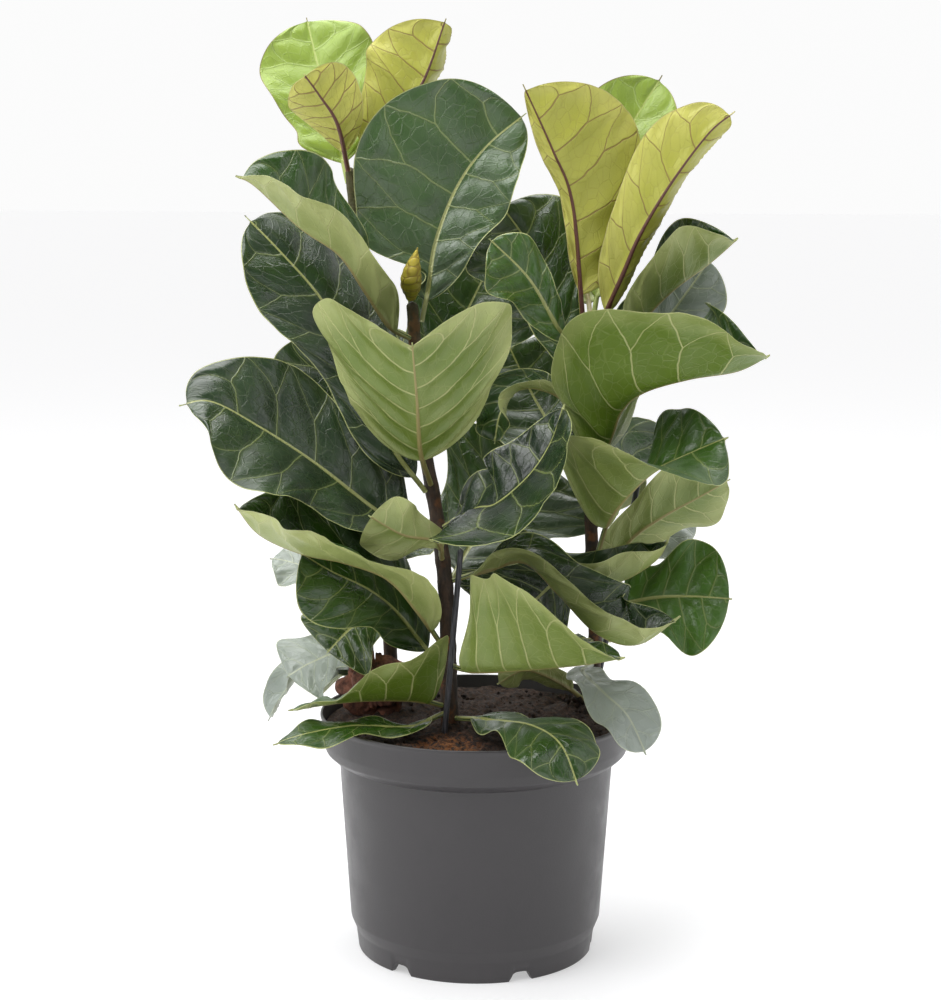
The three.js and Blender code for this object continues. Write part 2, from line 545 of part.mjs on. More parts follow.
// Half the blade's width at share t of its length, on the left (half 0) or on the right (half 1).
function halfWidth(leaf, t, half) {
  const x = Math.min(1, t / 0.97);
  const body = Math.sqrt(Math.max(0, Math.sin(Math.PI * x ** leaf.peak)));
  const outline = body * (1 - leaf.waist * bump(x, 0.36, 0.15)) + leaf.lobe[half] * bump(x, 0.13, 0.08);
  const point = t > 0.5 ? leaf.tip * (1 - t) : 0;
  const least = mix(blade.stalkRadius, 0.4, t);
  return Math.max(least, leaf.size[half] * (leaf.width / 2) * Math.max(outline, point));
}

// The middle of the blade's thickness at (t, s), and the way its upper side looks there. t runs from
// the base of the blade to its tip, and s from -1 at the left margin over 0 at the rib to 1.
function bladePoint(leaf, curve, t, s) {
  const length = curve.getLength();
  const half = s < 0 ? 0 : 1;
  const width = halfWidth(leaf, t, half);
  const out = width * Math.abs(s);
  const lean = leaf.sweep[half] * Math.min(1, t / 0.15) * (1 - (1 - leaf.notch) * t ** 4);
  const along = mix(leaf.stalk, length, t) + lean * out * Math.sqrt(Math.abs(s));
  const share = THREE.MathUtils.clamp(along / length, 0, 1);
  const tangent = curve.getTangentAt(share);
  const centre = curve.getPointAt(share).addScaledVector(tangent, along - share * length);
  const upper = faceAt(leaf, share);
  upper.addScaledVector(tangent, -upper.dot(tangent)).normalize();
  const across = tangent.clone().cross(upper);
  const [fold0, curl0, fold1, curl1] = half ? leaf.right : leaf.left;
  const fold = mix(fold0, fold1, t);
  const curl = mix(curl0, curl1, t);
  // The section starts flat over the rib, bends up to the fold angle within the keel, and curls on.
  const angleAt = (v) => {
    const folded = fold * (1 - Math.exp(-v / blade.keel));
    return radians(folded + curl * ((2 * v) / leaf.width) ** 1.4);
  };
  const slices = 8;
  let sideways = 0;
  let upwards = 0;
  for (let k = 0; k < slices; k += 1) {
    const angle = angleAt((out * (k + 0.5)) / slices);
    sideways += (Math.cos(angle) * out) / slices;
    upwards += (Math.sin(angle) * out) / slices;
  }
  const end = angleAt(out);
  const side = Math.sign(s);
  const normal = upper.clone().multiplyScalar(Math.cos(end)).addScaledVector(across, -side * Math.sin(end));
  const [height, count, startLeft, startRight] = leaf.wave;
  const phase = count * t + (half ? startRight : startLeft);
  const ripple = height * s * s * Math.sin(2 * Math.PI * phase) * Math.sqrt(Math.sin(Math.PI * t));
  const point = centre.addScaledVector(across, side * sideways).addScaledVector(upper, upwards)
    .addScaledVector(normal, ripple);
  return { point, normal };
}

function faceAt(leaf, share) {
  const [base, tip] = leaf.face;
  return vector(base).normalize().multiplyScalar(1 - share).addScaledVector(vector(tip).normalize(), share);
}

// The stalk's flat middle layer at share k of its length, as a strip that the blade carries on.
function stalkPoint(leaf, curve, k, s) {
  const share = (k * leaf.stalk) / curve.getLength();
  const tangent = curve.getTangentAt(share);
  const upper = faceAt(leaf, share);
  upper.addScaledVector(tangent, -upper.dot(tangent)).normalize();
  const across = tangent.clone().cross(upper);
  const point = curve.getPointAt(share).addScaledVector(across, s * blade.stalkRadius);
  return { point, normal: upper };
}

// One closed body: the upper and the lower side are the same grid, split along the same, shorter
// diagonals.
function leafGeometry(leaf) {
  const curve = ribCurve(leaf);
  const columns = leaf.width < narrow ? narrowColumns : wideColumns;
  const grid = [];
  for (const k of [0, 0.55]) {
    grid.push(columns.map((s) => {
      const half = blade.stalkRadius * Math.sqrt(1 - 0.8 * s * s);
      return { ...stalkPoint(leaf, curve, k, s), above: half, below: half };
    }));
  }
  for (const t of rows) {
    grid.push(columns.map((s) => {
      const rib = s === 0 ? blade.ribDepth * (1 - t) : 0;
      const above = blade.thickness / 2;
      return { ...bladePoint(leaf, curve, t, s), above, below: above + rib };
    }));
  }
  const cells = grid.flat();
  const place = (cell, shift) => cell.point.clone().addScaledVector(cell.normal, shift).toArray();
  const vertices = [
    ...cells.map((cell) => place(cell, cell.above)),
    ...cells.map((cell) => place(cell, -cell.below)),
  ];
  const wide = columns.length;
  const high = grid.length;
  const under = wide * high;
  const triangles = [];
  for (let i = 0; i < high - 1; i += 1) {
    for (let j = 0; j < wide - 1; j += 1) {
      const a = i * wide + j;
      const [b, c, d] = [a + 1, a + wide + 1, a + wide];
      const [pa, pb, pc, pd] = [a, b, c, d].map((n) => cells[n].point);
      const pair = pa.distanceTo(pc) < pb.distanceTo(pd) ? [[a, b, c], [a, c, d]] : [[a, b, d], [b, c, d]];
      triangles.push(...pair, ...pair.map(([p, q, r]) => [under + p, under + r, under + q]));
    }
  }
  const wall = (p, q) => triangles.push([p, under + p, under + q], [p, under + q, q]);
  for (let i = 0; i < high - 1; i += 1) {
    wall((i + 1) * wide, i * wide);
    wall(i * wide + wide - 1, (i + 1) * wide + wide - 1);
  }
  for (let j = 0; j < wide - 1; j += 1) {
    wall(j, j + 1);
    wall((high - 1) * wide + j + 1, (high - 1) * wide + j);
  }
  return geometryOf(vertices, triangles);
}

function completed(leaf) {
  const pair = (q) => (q.length === 4 ? q : [...q, ...q]);
  const both = (value) => (Array.isArray(value) ? value : [value, value]);
  const full = { ...leafDefaults, ...leaf };
  return {
    ...full,
    face: Array.isArray(leaf.face[0]) ? leaf.face : [leaf.face, leaf.face],
    left: pair(leaf.left),
    right: pair(leaf.right),
    lobe: both(full.lobe),
    sweep: both(full.sweep),
  };
}

// ---- assembly -----------------------------------------------------------------------

const plant = new THREE.Group();

function add(name, geometry, material) {
  const mesh = new THREE.Mesh(geometry, material);
  mesh.name = name;
  plant.add(mesh);
}

add('pot', makePot(), plastic);
add('soil', makeSoil(), peat);
for (const [key, stem] of Object.entries(stems)) add(`stem_${key}`, stemGeometry(stem), bark);
for (const [key, stick] of Object.entries(canes)) add(`cane_${key}`, caneGeometry(stick), cane);
add('bud', budGeometry(), leafTones.tender);
add('dried_sheath', sheathGeometry(), sheath);
for (const leaf of leaves) add(leaf.name, leafGeometry(completed(leaf)), leafTones[leaf.tone]);

export default plant;
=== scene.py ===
# Potted fiddle leaf fig: three young plants with canes in one nursery pot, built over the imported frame.
import math

import bpy
import numpy as np
from mathutils import Matrix


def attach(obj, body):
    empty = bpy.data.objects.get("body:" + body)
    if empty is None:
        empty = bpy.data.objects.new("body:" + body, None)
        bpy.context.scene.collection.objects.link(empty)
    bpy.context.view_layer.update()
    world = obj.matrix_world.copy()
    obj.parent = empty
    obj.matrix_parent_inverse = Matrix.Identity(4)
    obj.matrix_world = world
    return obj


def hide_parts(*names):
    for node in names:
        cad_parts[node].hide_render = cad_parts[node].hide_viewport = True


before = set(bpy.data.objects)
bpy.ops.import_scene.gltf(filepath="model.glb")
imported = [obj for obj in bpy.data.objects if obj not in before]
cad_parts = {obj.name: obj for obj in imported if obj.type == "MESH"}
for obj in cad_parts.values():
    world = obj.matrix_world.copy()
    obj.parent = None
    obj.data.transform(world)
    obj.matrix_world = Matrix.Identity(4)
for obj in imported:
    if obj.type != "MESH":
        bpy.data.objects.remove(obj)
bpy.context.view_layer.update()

mm = 0.001
print("frame loaded:", len(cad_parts), "nodes")


# Curves and grids, in millimetres.

def unit(v):
    return v / np.maximum(np.linalg.norm(v, axis=-1, keepdims=True), 1e-9)


def mix(a, b, t):
    return a + (b - a) * t


def smooth(low, high, x):
    t = np.clip((x - low) / (high - low), 0, 1)
    return t * t * (3 - 2 * t)


def bump(x, middle, width):
    return np.exp(-(((x - middle) / width) ** 2))


def curveThrough(points, samplesPerSpan=40):
    # a Catmull-Rom curve: each span is a cubic whose end slopes are half the step between its neighbours
    p = np.asarray(points, float)
    p = np.vstack([2 * p[0] - p[1], p, 2 * p[-1] - p[-2]])
    t = np.linspace(0, 1, samplesPerSpan, endpoint=False)[None, :, None]
    a, b, c, d = p[:-3, None], p[1:-2, None], p[2:-1, None], p[3:, None]
    square, cube = 2 * a - 5 * b + 4 * c - d, 3 * b - a - 3 * c + d
    span = 0.5 * (2 * b + (c - a) * t + square * t ** 2 + cube * t ** 3)
    line = np.vstack([span.reshape(-1, 3), p[-2:-1]])
    run = np.concatenate([[0], np.cumsum(np.linalg.norm(np.diff(line, axis=0), axis=1))])
    return {"line": line, "run": run, "slope": unit(np.gradient(line, run, axis=0)), "length": run[-1]}


def alongCurve(curve, distance):
    # the place and direction at a distance from the start; past either end the curve goes straight on
    inside = np.clip(distance, 0, curve["length"])
    place = np.stack([np.interp(inside, curve["run"], curve["line"][:, k]) for k in range(3)], -1)
    slope = unit(np.stack([np.interp(inside, curve["run"], curve["slope"][:, k]) for k in range(3)], -1))
    return place + slope * (distance - inside)[..., None], slope


def ripple(p, scale, seed=0):
    # smooth, repeatable unevenness from -1 to 1: a sum of sines that lie askew in space
    q = p / scale
    x, y, z = q[..., 0] + 3.1 * seed, q[..., 1] - 1.7 * seed, q[..., 2] + 5.3 * seed
    first = np.sin(1.7 * x + 2.3 * y + 1.3 * np.sin(0.9 * z))
    second = np.sin(-2.1 * x + 1.1 * z + 1.1 * np.sin(1.3 * y))
    third = np.sin(1.9 * z - 1.6 * y + 1.7 * np.sin(1.1 * x))
    return (first + second + third) / 3


def gridFaces(rows, columns, closed=False):
    # quads between neighbours on a grid of rows by columns; closed joins the last column to the first
    grid = np.arange(rows * columns).reshape(rows, columns)
    near = grid if closed else grid[:, :-1]
    far = np.roll(grid, -1, axis=1)[:, :near.shape[1]]
    return np.stack([near[:-1], far[:-1], far[1:], near[1:]], -1).reshape(-1, 4)


def makePiece(name, places, faces, material, nodes, slot, facts=None):
    # places in millimetres; facts are named vectors kept on the vertices for the material
    mesh = bpy.data.meshes.new(name)
    mesh.from_pydata((places * mm).tolist(), [], [list(f) for f in faces])
    for key, values in (facts or {}).items():
        store = mesh.attributes.new(key, "FLOAT_VECTOR", "POINT")
        store.data.foreach_set("vector", np.asarray(values, np.float32).ravel())
    mesh.polygons.foreach_set("use_smooth", np.ones(len(mesh.polygons), bool))
    mesh.update()
    piece = bpy.data.objects.new(name, mesh)
    bpy.context.scene.collection.objects.link(piece)
    mesh.materials.append(material)
    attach(piece, "root")
    if nodes:
        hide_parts(*nodes)


def turned(profile, segments):
    # a profile of [radius, height] carried round the vertical axis; both ends lie on the axis
    turn = np.linspace(0, 2 * np.pi, segments, endpoint=False)
    r, z = profile[:, 0, None], profile[:, 1, None]
    return np.stack([r * np.cos(turn), r * np.sin(turn), z + 0 * turn], -1)


def closePoles(places):
    # the first and the last row of a grid that is closed sideways each shrink to one point
    rows, columns = places.shape[:2]
    body = places[1:-1].reshape(-1, 3)
    quads = gridFaces(rows - 2, columns, closed=True).tolist()
    k = np.arange(columns)
    n = (k + 1) % columns
    base = (rows - 3) * columns
    quads += np.stack([np.full(columns, len(body)), n, k], -1).tolist()
    quads += np.stack([np.full(columns, len(body) + 1), base + k, base + n], -1).tolist()
    return np.vstack([body, places[0, :1], places[-1, :1]]), quads


def tube(curve, radius, rows, sides, swell=None):
    # rings square to a curve, with a pole at each end; radius depends on the share of the length,
    # and swell, which multiplies it, on that share and on the turn round the curve
    share = np.linspace(0, 1, rows)
    place, slope = alongCurve(curve, share * curve["length"])
    side = unit(np.cross(slope, [0.31, 0.95, 0.02]))
    other = np.cross(slope, side)
    turn = np.linspace(0, 2 * np.pi, sides, endpoint=False)
    r = radius(share)[:, None] * (1 if swell is None else swell(share[:, None], turn[None, :]))
    ring = side[:, None] * np.cos(turn)[None, :, None] + other[:, None] * np.sin(turn)[None, :, None]
    places = place[:, None] + ring * r[..., None]
    ends = np.repeat(place[[0, -1], None], sides, axis=1)
    return np.concatenate([ends[:1], places, ends[1:]])


# Material helpers.

class Nodes:
    # short names for the nodes of one material; each method gives back an output socket
    def __init__(self, name):
        self.material = bpy.data.materials.new(name)
        self.material.use_nodes = True
        self.tree = self.material.node_tree
        self.shader = self.tree.nodes["Principled BSDF"]

    def node(self, kind, **settings):
        made = self.tree.nodes.new(kind)
        for key, value in settings.items():
            setattr(made, key, value)
        return made

    def feed(self, socket, value):
        if isinstance(value, bpy.types.NodeSocket):
            self.tree.links.new(value, socket)
        else:
            socket.default_value = value

    def feedAll(self, made, **values):
        for key, value in values.items():
            self.feed(made.inputs[key.replace("_", " ")], value)

    def math(self, operation, a, b=0.0, clamp=False):
        made = self.node("ShaderNodeMath", operation=operation, use_clamp=clamp)
        self.feed(made.inputs[0], a)
        self.feed(made.inputs[1], b)
        return made.outputs[0]

    def times(self, a, b):
        return self.math("MULTIPLY", a, b)

    def plus(self, a, b, clamp=False):
        return self.math("ADD", a, b, clamp)

    def step(self, x, low, high, start=0.0, end=1.0):
        # start below low, end above high, and a smooth change between
        made = self.node("ShaderNodeMapRange", interpolation_type="SMOOTHSTEP")
        self.feedAll(made, Value=x, From_Min=low, From_Max=high, To_Min=start, To_Max=end)
        return made.outputs["Result"]

    def blend(self, share, a, b):
        made = self.node("ShaderNodeMix", data_type="RGBA")
        for socket, value in zip((made.inputs[0], made.inputs[6], made.inputs[7]), (share, a, b)):
            self.feed(socket, rgb(value) if isinstance(value, tuple) else value)
        return made.outputs[2]

    def attribute(self, name):
        return self.node("ShaderNodeAttribute", attribute_name=name).outputs["Vector"]

    def split(self, vector):
        made = self.node("ShaderNodeSeparateXYZ")
        self.feed(made.inputs[0], vector)
        return made.outputs

    def join(self, x, y, z):
        made = self.node("ShaderNodeCombineXYZ")
        for socket, value in zip(made.inputs, (x, y, z)):
            self.feed(socket, value)
        return made.outputs[0]

    def stretch(self, vector, *scales):
        # a place whose three parts are each multiplied by a scale of their own
        return self.join(*(self.times(part, scale) for part, scale in zip(self.split(vector), scales)))

    def place(self):
        return self.node("ShaderNodeTexCoord").outputs["Object"]

    def noise(self, vector, scale, detail=2.0, roughness=0.5):
        made = self.node("ShaderNodeTexNoise")
        self.feedAll(made, Vector=vector, Scale=scale, Detail=detail, Roughness=roughness)
        return made.outputs["Fac"]

    def cells(self, vector, scale, feature="DISTANCE_TO_EDGE"):
        made = self.node("ShaderNodeTexVoronoi", feature=feature)
        self.feedAll(made, Vector=vector, Scale=scale)
        return made.outputs[0]

    def bump(self, height, depth, strength=1.0):
        made = self.node("ShaderNodeBump")
        self.feedAll(made, Distance=depth, Strength=strength, Height=height)
        self.feed(self.shader.inputs["Normal"], made.outputs[0])

    def finish(self, color, roughness, **constants):
        self.feedAll(self.shader, Base_Color=color, Roughness=roughness, **constants)
        return self.material


def rgb(screen):
    # an 8-bit screen colour as the shader's linear one
    shares = [part / 255 for part in screen]
    return tuple(c / 12.92 if c <= 0.04045 else ((c + 0.055) / 1.055) ** 2.4 for c in shares) + (1,)


# Camera and light.

camera = {"place": (-0.005, -1.58, 0.589), "tiltDown": 8.6, "roll": 0.23, "lens": 75.6, "sensorHeight": 36}
lights = {
    "keyLeft": {"place": (-1.7, -1.3, 1.9), "size": (2.0, 2.2), "watts": 40},
    "fillRight": {"place": (1.9, -1.1, 1.4), "size": (1.6, 1.8), "watts": 10},
    "top": {"place": (-0.2, 0.1, 1.9), "size": (2.4, 1.5), "watts": 44},
}
lightTarget = (0, 0, 0.38)
studio = {
    "roomStrength": 0.18, "roomTo": -0.25,  # the room, in front and to the sides
    "backdropStrength": 0.97, "backdropFrom": 0.7,
    "floorColor": (0.55, 0.55, 0.56, 1), "floorRoughness": 0.9, "halfWidth": 40,
    "nearGlow": 0.45, "glowFrom": 0.3,  # the floor's own glow, near the pot and far from it
    "farGlow": 0.645, "glowTo": 2.2,
}


def placed(name, data, right, up, back, place):
    # an object whose own axes point right, up and back
    seat = np.eye(4)
    seat[:3, :3] = np.array([right, up, back]).T
    seat[:3, 3] = place
    item = bpy.data.objects.new(name, data)
    item.matrix_world = Matrix(seat.tolist())
    bpy.context.scene.collection.objects.link(item)
    return item


def addCamera():
    data = bpy.data.cameras.new("camera")
    data.lens = camera["lens"]
    data.sensor_fit = "VERTICAL"
    data.sensor_height = camera["sensorHeight"]
    tilt, roll = math.radians(camera["tiltDown"]), math.radians(camera["roll"])
    forward = np.array([0, math.cos(tilt), -math.sin(tilt)])
    right = np.array([1.0, 0, 0])
    up = np.cross(right, forward)
    turnedRight = right * math.cos(roll) + up * math.sin(roll)
    turnedUp = up * math.cos(roll) - right * math.sin(roll)
    bpy.context.scene.camera = placed("camera", data, turnedRight, turnedUp, -forward, camera["place"])


def addLights():
    for name, light in lights.items():
        data = bpy.data.lights.new(name, "AREA")
        data.shape = "RECTANGLE"
        data.size, data.size_y = light["size"]
        data.energy = light["watts"]
        back = unit(np.array(light["place"]) - lightTarget)
        side = unit(np.cross([0, 0, 1], back))
        placed(name, data, side, np.cross(back, side), back, light["place"])


def addRoom():
    # the room is dim in front and to the sides, and bright behind the plant
    world = bpy.data.worlds.new("studio")
    world.use_nodes = True
    tree = world.node_tree
    direction = tree.nodes.new("ShaderNodeTexCoord")
    split = tree.nodes.new("ShaderNodeSeparateXYZ")
    share = tree.nodes.new("ShaderNodeMapRange")
    share.interpolation_type = "SMOOTHSTEP"
    share.inputs["From Min"].default_value = studio["roomTo"]
    share.inputs["From Max"].default_value = studio["backdropFrom"]
    share.inputs["To Min"].default_value = studio["roomStrength"]
    share.inputs["To Max"].default_value = studio["backdropStrength"]
    tree.links.new(direction.outputs["Generated"], split.inputs[0])
    tree.links.new(split.outputs[1], share.inputs["Value"])
    tree.links.new(share.outputs["Result"], tree.nodes["Background"].inputs["Strength"])
    tree.nodes["Background"].inputs["Color"].default_value = (1, 1, 1, 1)
    bpy.context.scene.world = world


def addFloor():
    half = studio["halfWidth"]
    mesh = bpy.data.meshes.new("floor")
    corners = [(-half, -half, 0), (half, -half, 0), (half, half, 0), (-half, half, 0)]
    mesh.from_pydata(corners, [], [(0, 1, 2, 3)])
    item = bpy.data.objects.new("floor", mesh)
    bpy.context.scene.collection.objects.link(item)
    # the paper shines a little by itself, more so away from the lamps, to stay as pale as the backdrop
    n = Nodes("studioFloor")
    x, y = n.split(n.place())[:2]
    away = n.math("SQRT", n.plus(n.times(x, x), n.times(y, y)))
    glow = n.step(away, studio["glowFrom"], studio["glowTo"], studio["nearGlow"], studio["farGlow"])
    paper = n.finish(studio["floorColor"], studio["floorRoughness"],
                     Emission_Color=(1, 1, 1, 1), Emission_Strength=glow)
    mesh.materials.append(paper)


addCamera()
addLights()
addRoom()
addFloor()
bpy.context.scene.view_settings.view_transform = "Standard"
print("camera, light and floor set")


# The pot.

gap = 0.35  # between pieces that touch
pot = {
    "height": 186, "rimRadius": 120, "rimDepth": 34, "shoulderRadius": 105.5, "waistRadius": 97,
    "footRadius": 93, "footHeight": 20, "wall": 1.8, "floorHeight": 9,
    "footRing": 10, "footSlope": 3, "footEdge": 2, "waistRise": 6,  # the ring that it stands on
    "bandSlope": 5, "bandRise": 6, "bandInset": 4,  # how the band under the rim steps out from the wall
    "lipInset": 2, "lipHeight": 13, "lipDip": [0.6, 4], "lipRoll": [0.2, 2], "edge": 1, "rounding": 1.2,
    "notches": 6, "notchWidth": 17, "notchHeight": 7.5, "firstNotchAngle": 22, "segments": 360,
    "dark": (42, 40, 42), "light": (62, 59, 61), "roughness": (0.34, 0.46), "shine": 0.6,
}


def rounded(points, radius, steps=5):
    # a line of [radius, height] points whose corners are small arcs, as parabolas between the two cuts
    p = np.asarray(points, float)
    back, on = p[:-2] - p[1:-1], p[2:] - p[1:-1]
    room = np.minimum(np.linalg.norm(back, axis=1), np.linalg.norm(on, axis=1))
    reach = np.minimum(radius, 0.45 * room)[:, None]
    start, end = p[1:-1] + unit(back) * reach, p[1:-1] + unit(on) * reach
    t = np.linspace(0, 1, steps)[None, :, None]
    arcs = (1 - t) ** 2 * start[:, None] + 2 * t * (1 - t) * p[1:-1, None] + t ** 2 * end[:, None]
    return np.vstack([p[:1], arcs.reshape(-1, 2), p[-1:]])


def plasticMaterial():
    n = Nodes("potPlastic")
    spot = n.place()
    scuff = n.noise(spot, 38.0, 4.0, 0.65)
    grain = n.noise(spot, 900.0)
    worn = n.step(n.split(spot)[2], 0.0, 0.05, 0.25, 0.0)
    color = n.blend(n.plus(n.times(scuff, 0.7), worn, True), pot["dark"], pot["light"])
    n.bump(n.plus(grain, n.times(scuff, 0.4)), 0.00025, 0.35)
    return n.finish(color, n.step(scuff, 0.3, 0.7, *pot["roughness"]), Specular_IOR_Level=pot["shine"])


def potProfile():
    # from the middle of the underside, out and up the outer wall, over the rim, and down the inside
    top, floor, wall, edge = pot["height"], pot["floorHeight"], pot["wall"], pot["edge"]
    band, lip = top - pot["rimDepth"], top - pot["rimDepth"] + pot["lipHeight"]
    rim, shoulder, waist, foot = (pot[key + "Radius"] for key in ("rim", "shoulder", "waist", "foot"))
    waistHeight = pot["footHeight"] + pot["waistRise"]
    dip, roll = pot["lipDip"], pot["lipRoll"]
    outside = [
        [0, floor], [foot - pot["footRing"], floor], [foot - pot["footRing"] + pot["footSlope"], 0],
        [foot - pot["footEdge"], 0], [foot, pot["footHeight"] - (waist - foot)], [waist, waistHeight],
        [shoulder, band - edge], [shoulder + pot["bandSlope"], band + edge],
        [rim - pot["bandInset"], band + pot["bandRise"]], [rim - pot["lipInset"], lip],
        [rim - dip[0], top - dip[1]], [rim + roll[0], top - roll[1]], [rim, top],
    ]
    inside = [
        [rim - wall, top], [rim - wall - pot["lipInset"], lip], [shoulder - wall, band - edge],
        [waist - wall, waistHeight], [foot - wall - edge, pot["footHeight"]],
        [foot - pot["footRing"] + edge, floor + wall], [0, floor + wall],
    ]
    return rounded(outside + inside, pot["rounding"])


def makePot():
    # the profile turned round the axis; the foot's lower edge is lifted into arches at even angles
    profile = potProfile()
    aboveFoot = pot["footHeight"] + pot["waistRise"] + pot["edge"]
    split = np.argmax(profile[:, 1] > aboveFoot) - 1
    lower, wall = profile[:split], profile[split:]
    between = mix(lower[-1], wall[0], np.linspace(0, 1, 9)[1:-1, None])
    places = turned(np.vstack([lower, between, wall]), pot["segments"])
    turn = np.degrees(np.arctan2(places[..., 0], -places[..., 1]))
    every = 360 / pot["notches"]
    off = np.abs((turn - pot["firstNotchAngle"] + every / 2) % every - every / 2)
    arc = np.radians(off) * pot["footRadius"] / (pot["notchWidth"] / 2)
    lift = pot["notchHeight"] * np.sqrt(np.clip(1 - arc ** 4, 0, 1))
    ringInside = pot["footRadius"] - pot["footRing"]
    outer = smooth(ringInside - 2, ringInside + 0.5, np.hypot(places[..., 0], places[..., 1]))
    low = (places[..., 2] < pot["floorHeight"]) & (outer > 0)
    places[..., 2] = np.where(low, np.maximum(places[..., 2], lift * outer), places[..., 2])
    makePiece("pot_fine", *closePoles(places), plasticMaterial(), ["pot"], "pot_plastic")


makePot()
print("pot made")


# Stems and canes.

stems = {
    "a": {
        "path": [[-19, -26, 130], [-20, -25, 175], [-23, -12, 273], [-28, -4, 320], [-34, 2, 357],
                 [-42, 6, 403], [-47, 8, 463], [-50, 8, 500]],
        "baseRadius": 7, "topRadius": 4.5,
    },
    "b": {
        "path": [[80, 34, 130], [88, 36, 175], [93, 32, 235], [89, 26, 315], [85, 20, 394], [85, 16, 456],
                 [85, 14, 490]],
        "baseRadius": 6, "topRadius": 4.5,
    },
    "c": {
        "path": [[-66, 56, 130], [-67, 58, 179], [-72, 60, 293], [-81, 56, 420], [-93, 50, 537],
                 [-98, 46, 600]],
        "baseRadius": 6, "topRadius": 4,
    },
}
bark = {
    "dark": (34, 26, 20), "light": (76, 56, 40), "rusty": (104, 66, 38), "green": (86, 88, 48),
    "greenFrom": 0.36, "greenTo": 0.6, "roughness": (0.55, 0.85), "inset": 0.2, "knot": 0.45,
}
canes = {
    "a": {"foot": [-28, -46, 130], "top": [-12, -31, 318]},
    "b": {"foot": [84, 46, 130], "top": [128, 46, 368]},
    "c": {"foot": [-80, 42, 130], "top": [-96, 66, 560]},
}
rod = {"radius": 2.3, "inset": 0.12, "joint": 0.12, "dark": (40, 40, 44), "light": (74, 74, 80)}


def barkMaterial():
    n = Nodes("bark")
    spot = n.place()
    height = n.split(spot)[2]
    patch = n.noise(spot, 55.0, 4.0, 0.6)
    streak = n.noise(n.stretch(spot, 260.0, 260.0, 60.0), 1.0, 4.0, 0.65)
    rings = n.noise(n.stretch(spot, 0.0, 0.0, 420.0), 1.0)
    brown = n.blend(n.step(streak, 0.3, 0.75), bark["dark"], bark["light"])
    rusty = n.blend(n.step(patch, 0.56, 0.68), brown, bark["rusty"])
    young = n.step(height, bark["greenFrom"], bark["greenTo"], 0.0, 0.55)
    n.bump(n.plus(streak, n.times(rings, 0.5)), 0.0012, 0.9)
    return n.finish(n.blend(young, rusty, bark["green"]), n.step(patch, 0.3, 0.7, *bark["roughness"]))


def caneMaterial():
    n = Nodes("caneSkin")
    streak = n.noise(n.stretch(n.place(), 900.0, 900.0, 12.0), 1.0, 3.0)
    n.bump(streak, 0.0003, 0.5)
    color = n.blend(n.step(streak, 0.35, 0.7), rod["dark"], rod["light"])
    return n.finish(color, n.step(streak, 0.3, 0.7, 0.36, 0.5))


def roundTop(share, start, length):
    # a quarter of an ellipse, which takes a tube's radius down at its end
    return np.sqrt(np.clip(1 - ((share - start) / length).clip(0) ** 2, 0.02, 1))


def makeStems():
    material = barkMaterial()
    for plant, stem in stems.items():
        curve = curveThrough(stem["path"])
        heights = np.array([leaf["at"] for name, leaf in leaves.items() if name[0] == plant], float)
        shares = np.interp(heights, curve["line"][:, 2], curve["run"]) / curve["length"]

        def radius(share):
            # a thin swelling under each leaf, and a rounded top
            knots = (0.5 * np.exp(-((share[:, None] - shares[None, :] + 0.006) / 0.009) ** 2)).sum(1)
            taper = mix(stem["baseRadius"], stem["topRadius"], share) - bark["inset"]
            return (taper + np.minimum(knots, bark["knot"])) * roundTop(share, 0.99, 0.0102)

        def swell(share, turn):
            # shallow lengthwise furrows that wander with height
            furrows = 0.02 * np.sin(5 * turn + 9 * share) + 0.015 * np.sin(9 * turn - 31 * share)
            return 1 + furrows + 0.01 * np.sin(160 * share)

        shape = closePoles(tube(curve, radius, 260, 28, swell))
        makePiece("stem_%s_fine" % plant, *shape, material, ["stem_" + plant], "bark")


def makeCanes():
    material = caneMaterial()

    def radius(share):
        # a straight rod with slight joints and a rounded top
        joints = rod["joint"] * np.exp(-((((share * 2.6 + 0.3) % 1) - 0.5) / 0.012) ** 2)
        return (rod["radius"] - rod["inset"] + joints) * roundTop(share, 0.993, 0.0072)

    for plant, cane in canes.items():
        shape = closePoles(tube(curveThrough([cane["foot"], cane["top"]]), radius, 120, 20))
        makePiece("cane_%s_fine" % plant, *shape, material, ["cane_" + plant], "cane")


# Leaves.

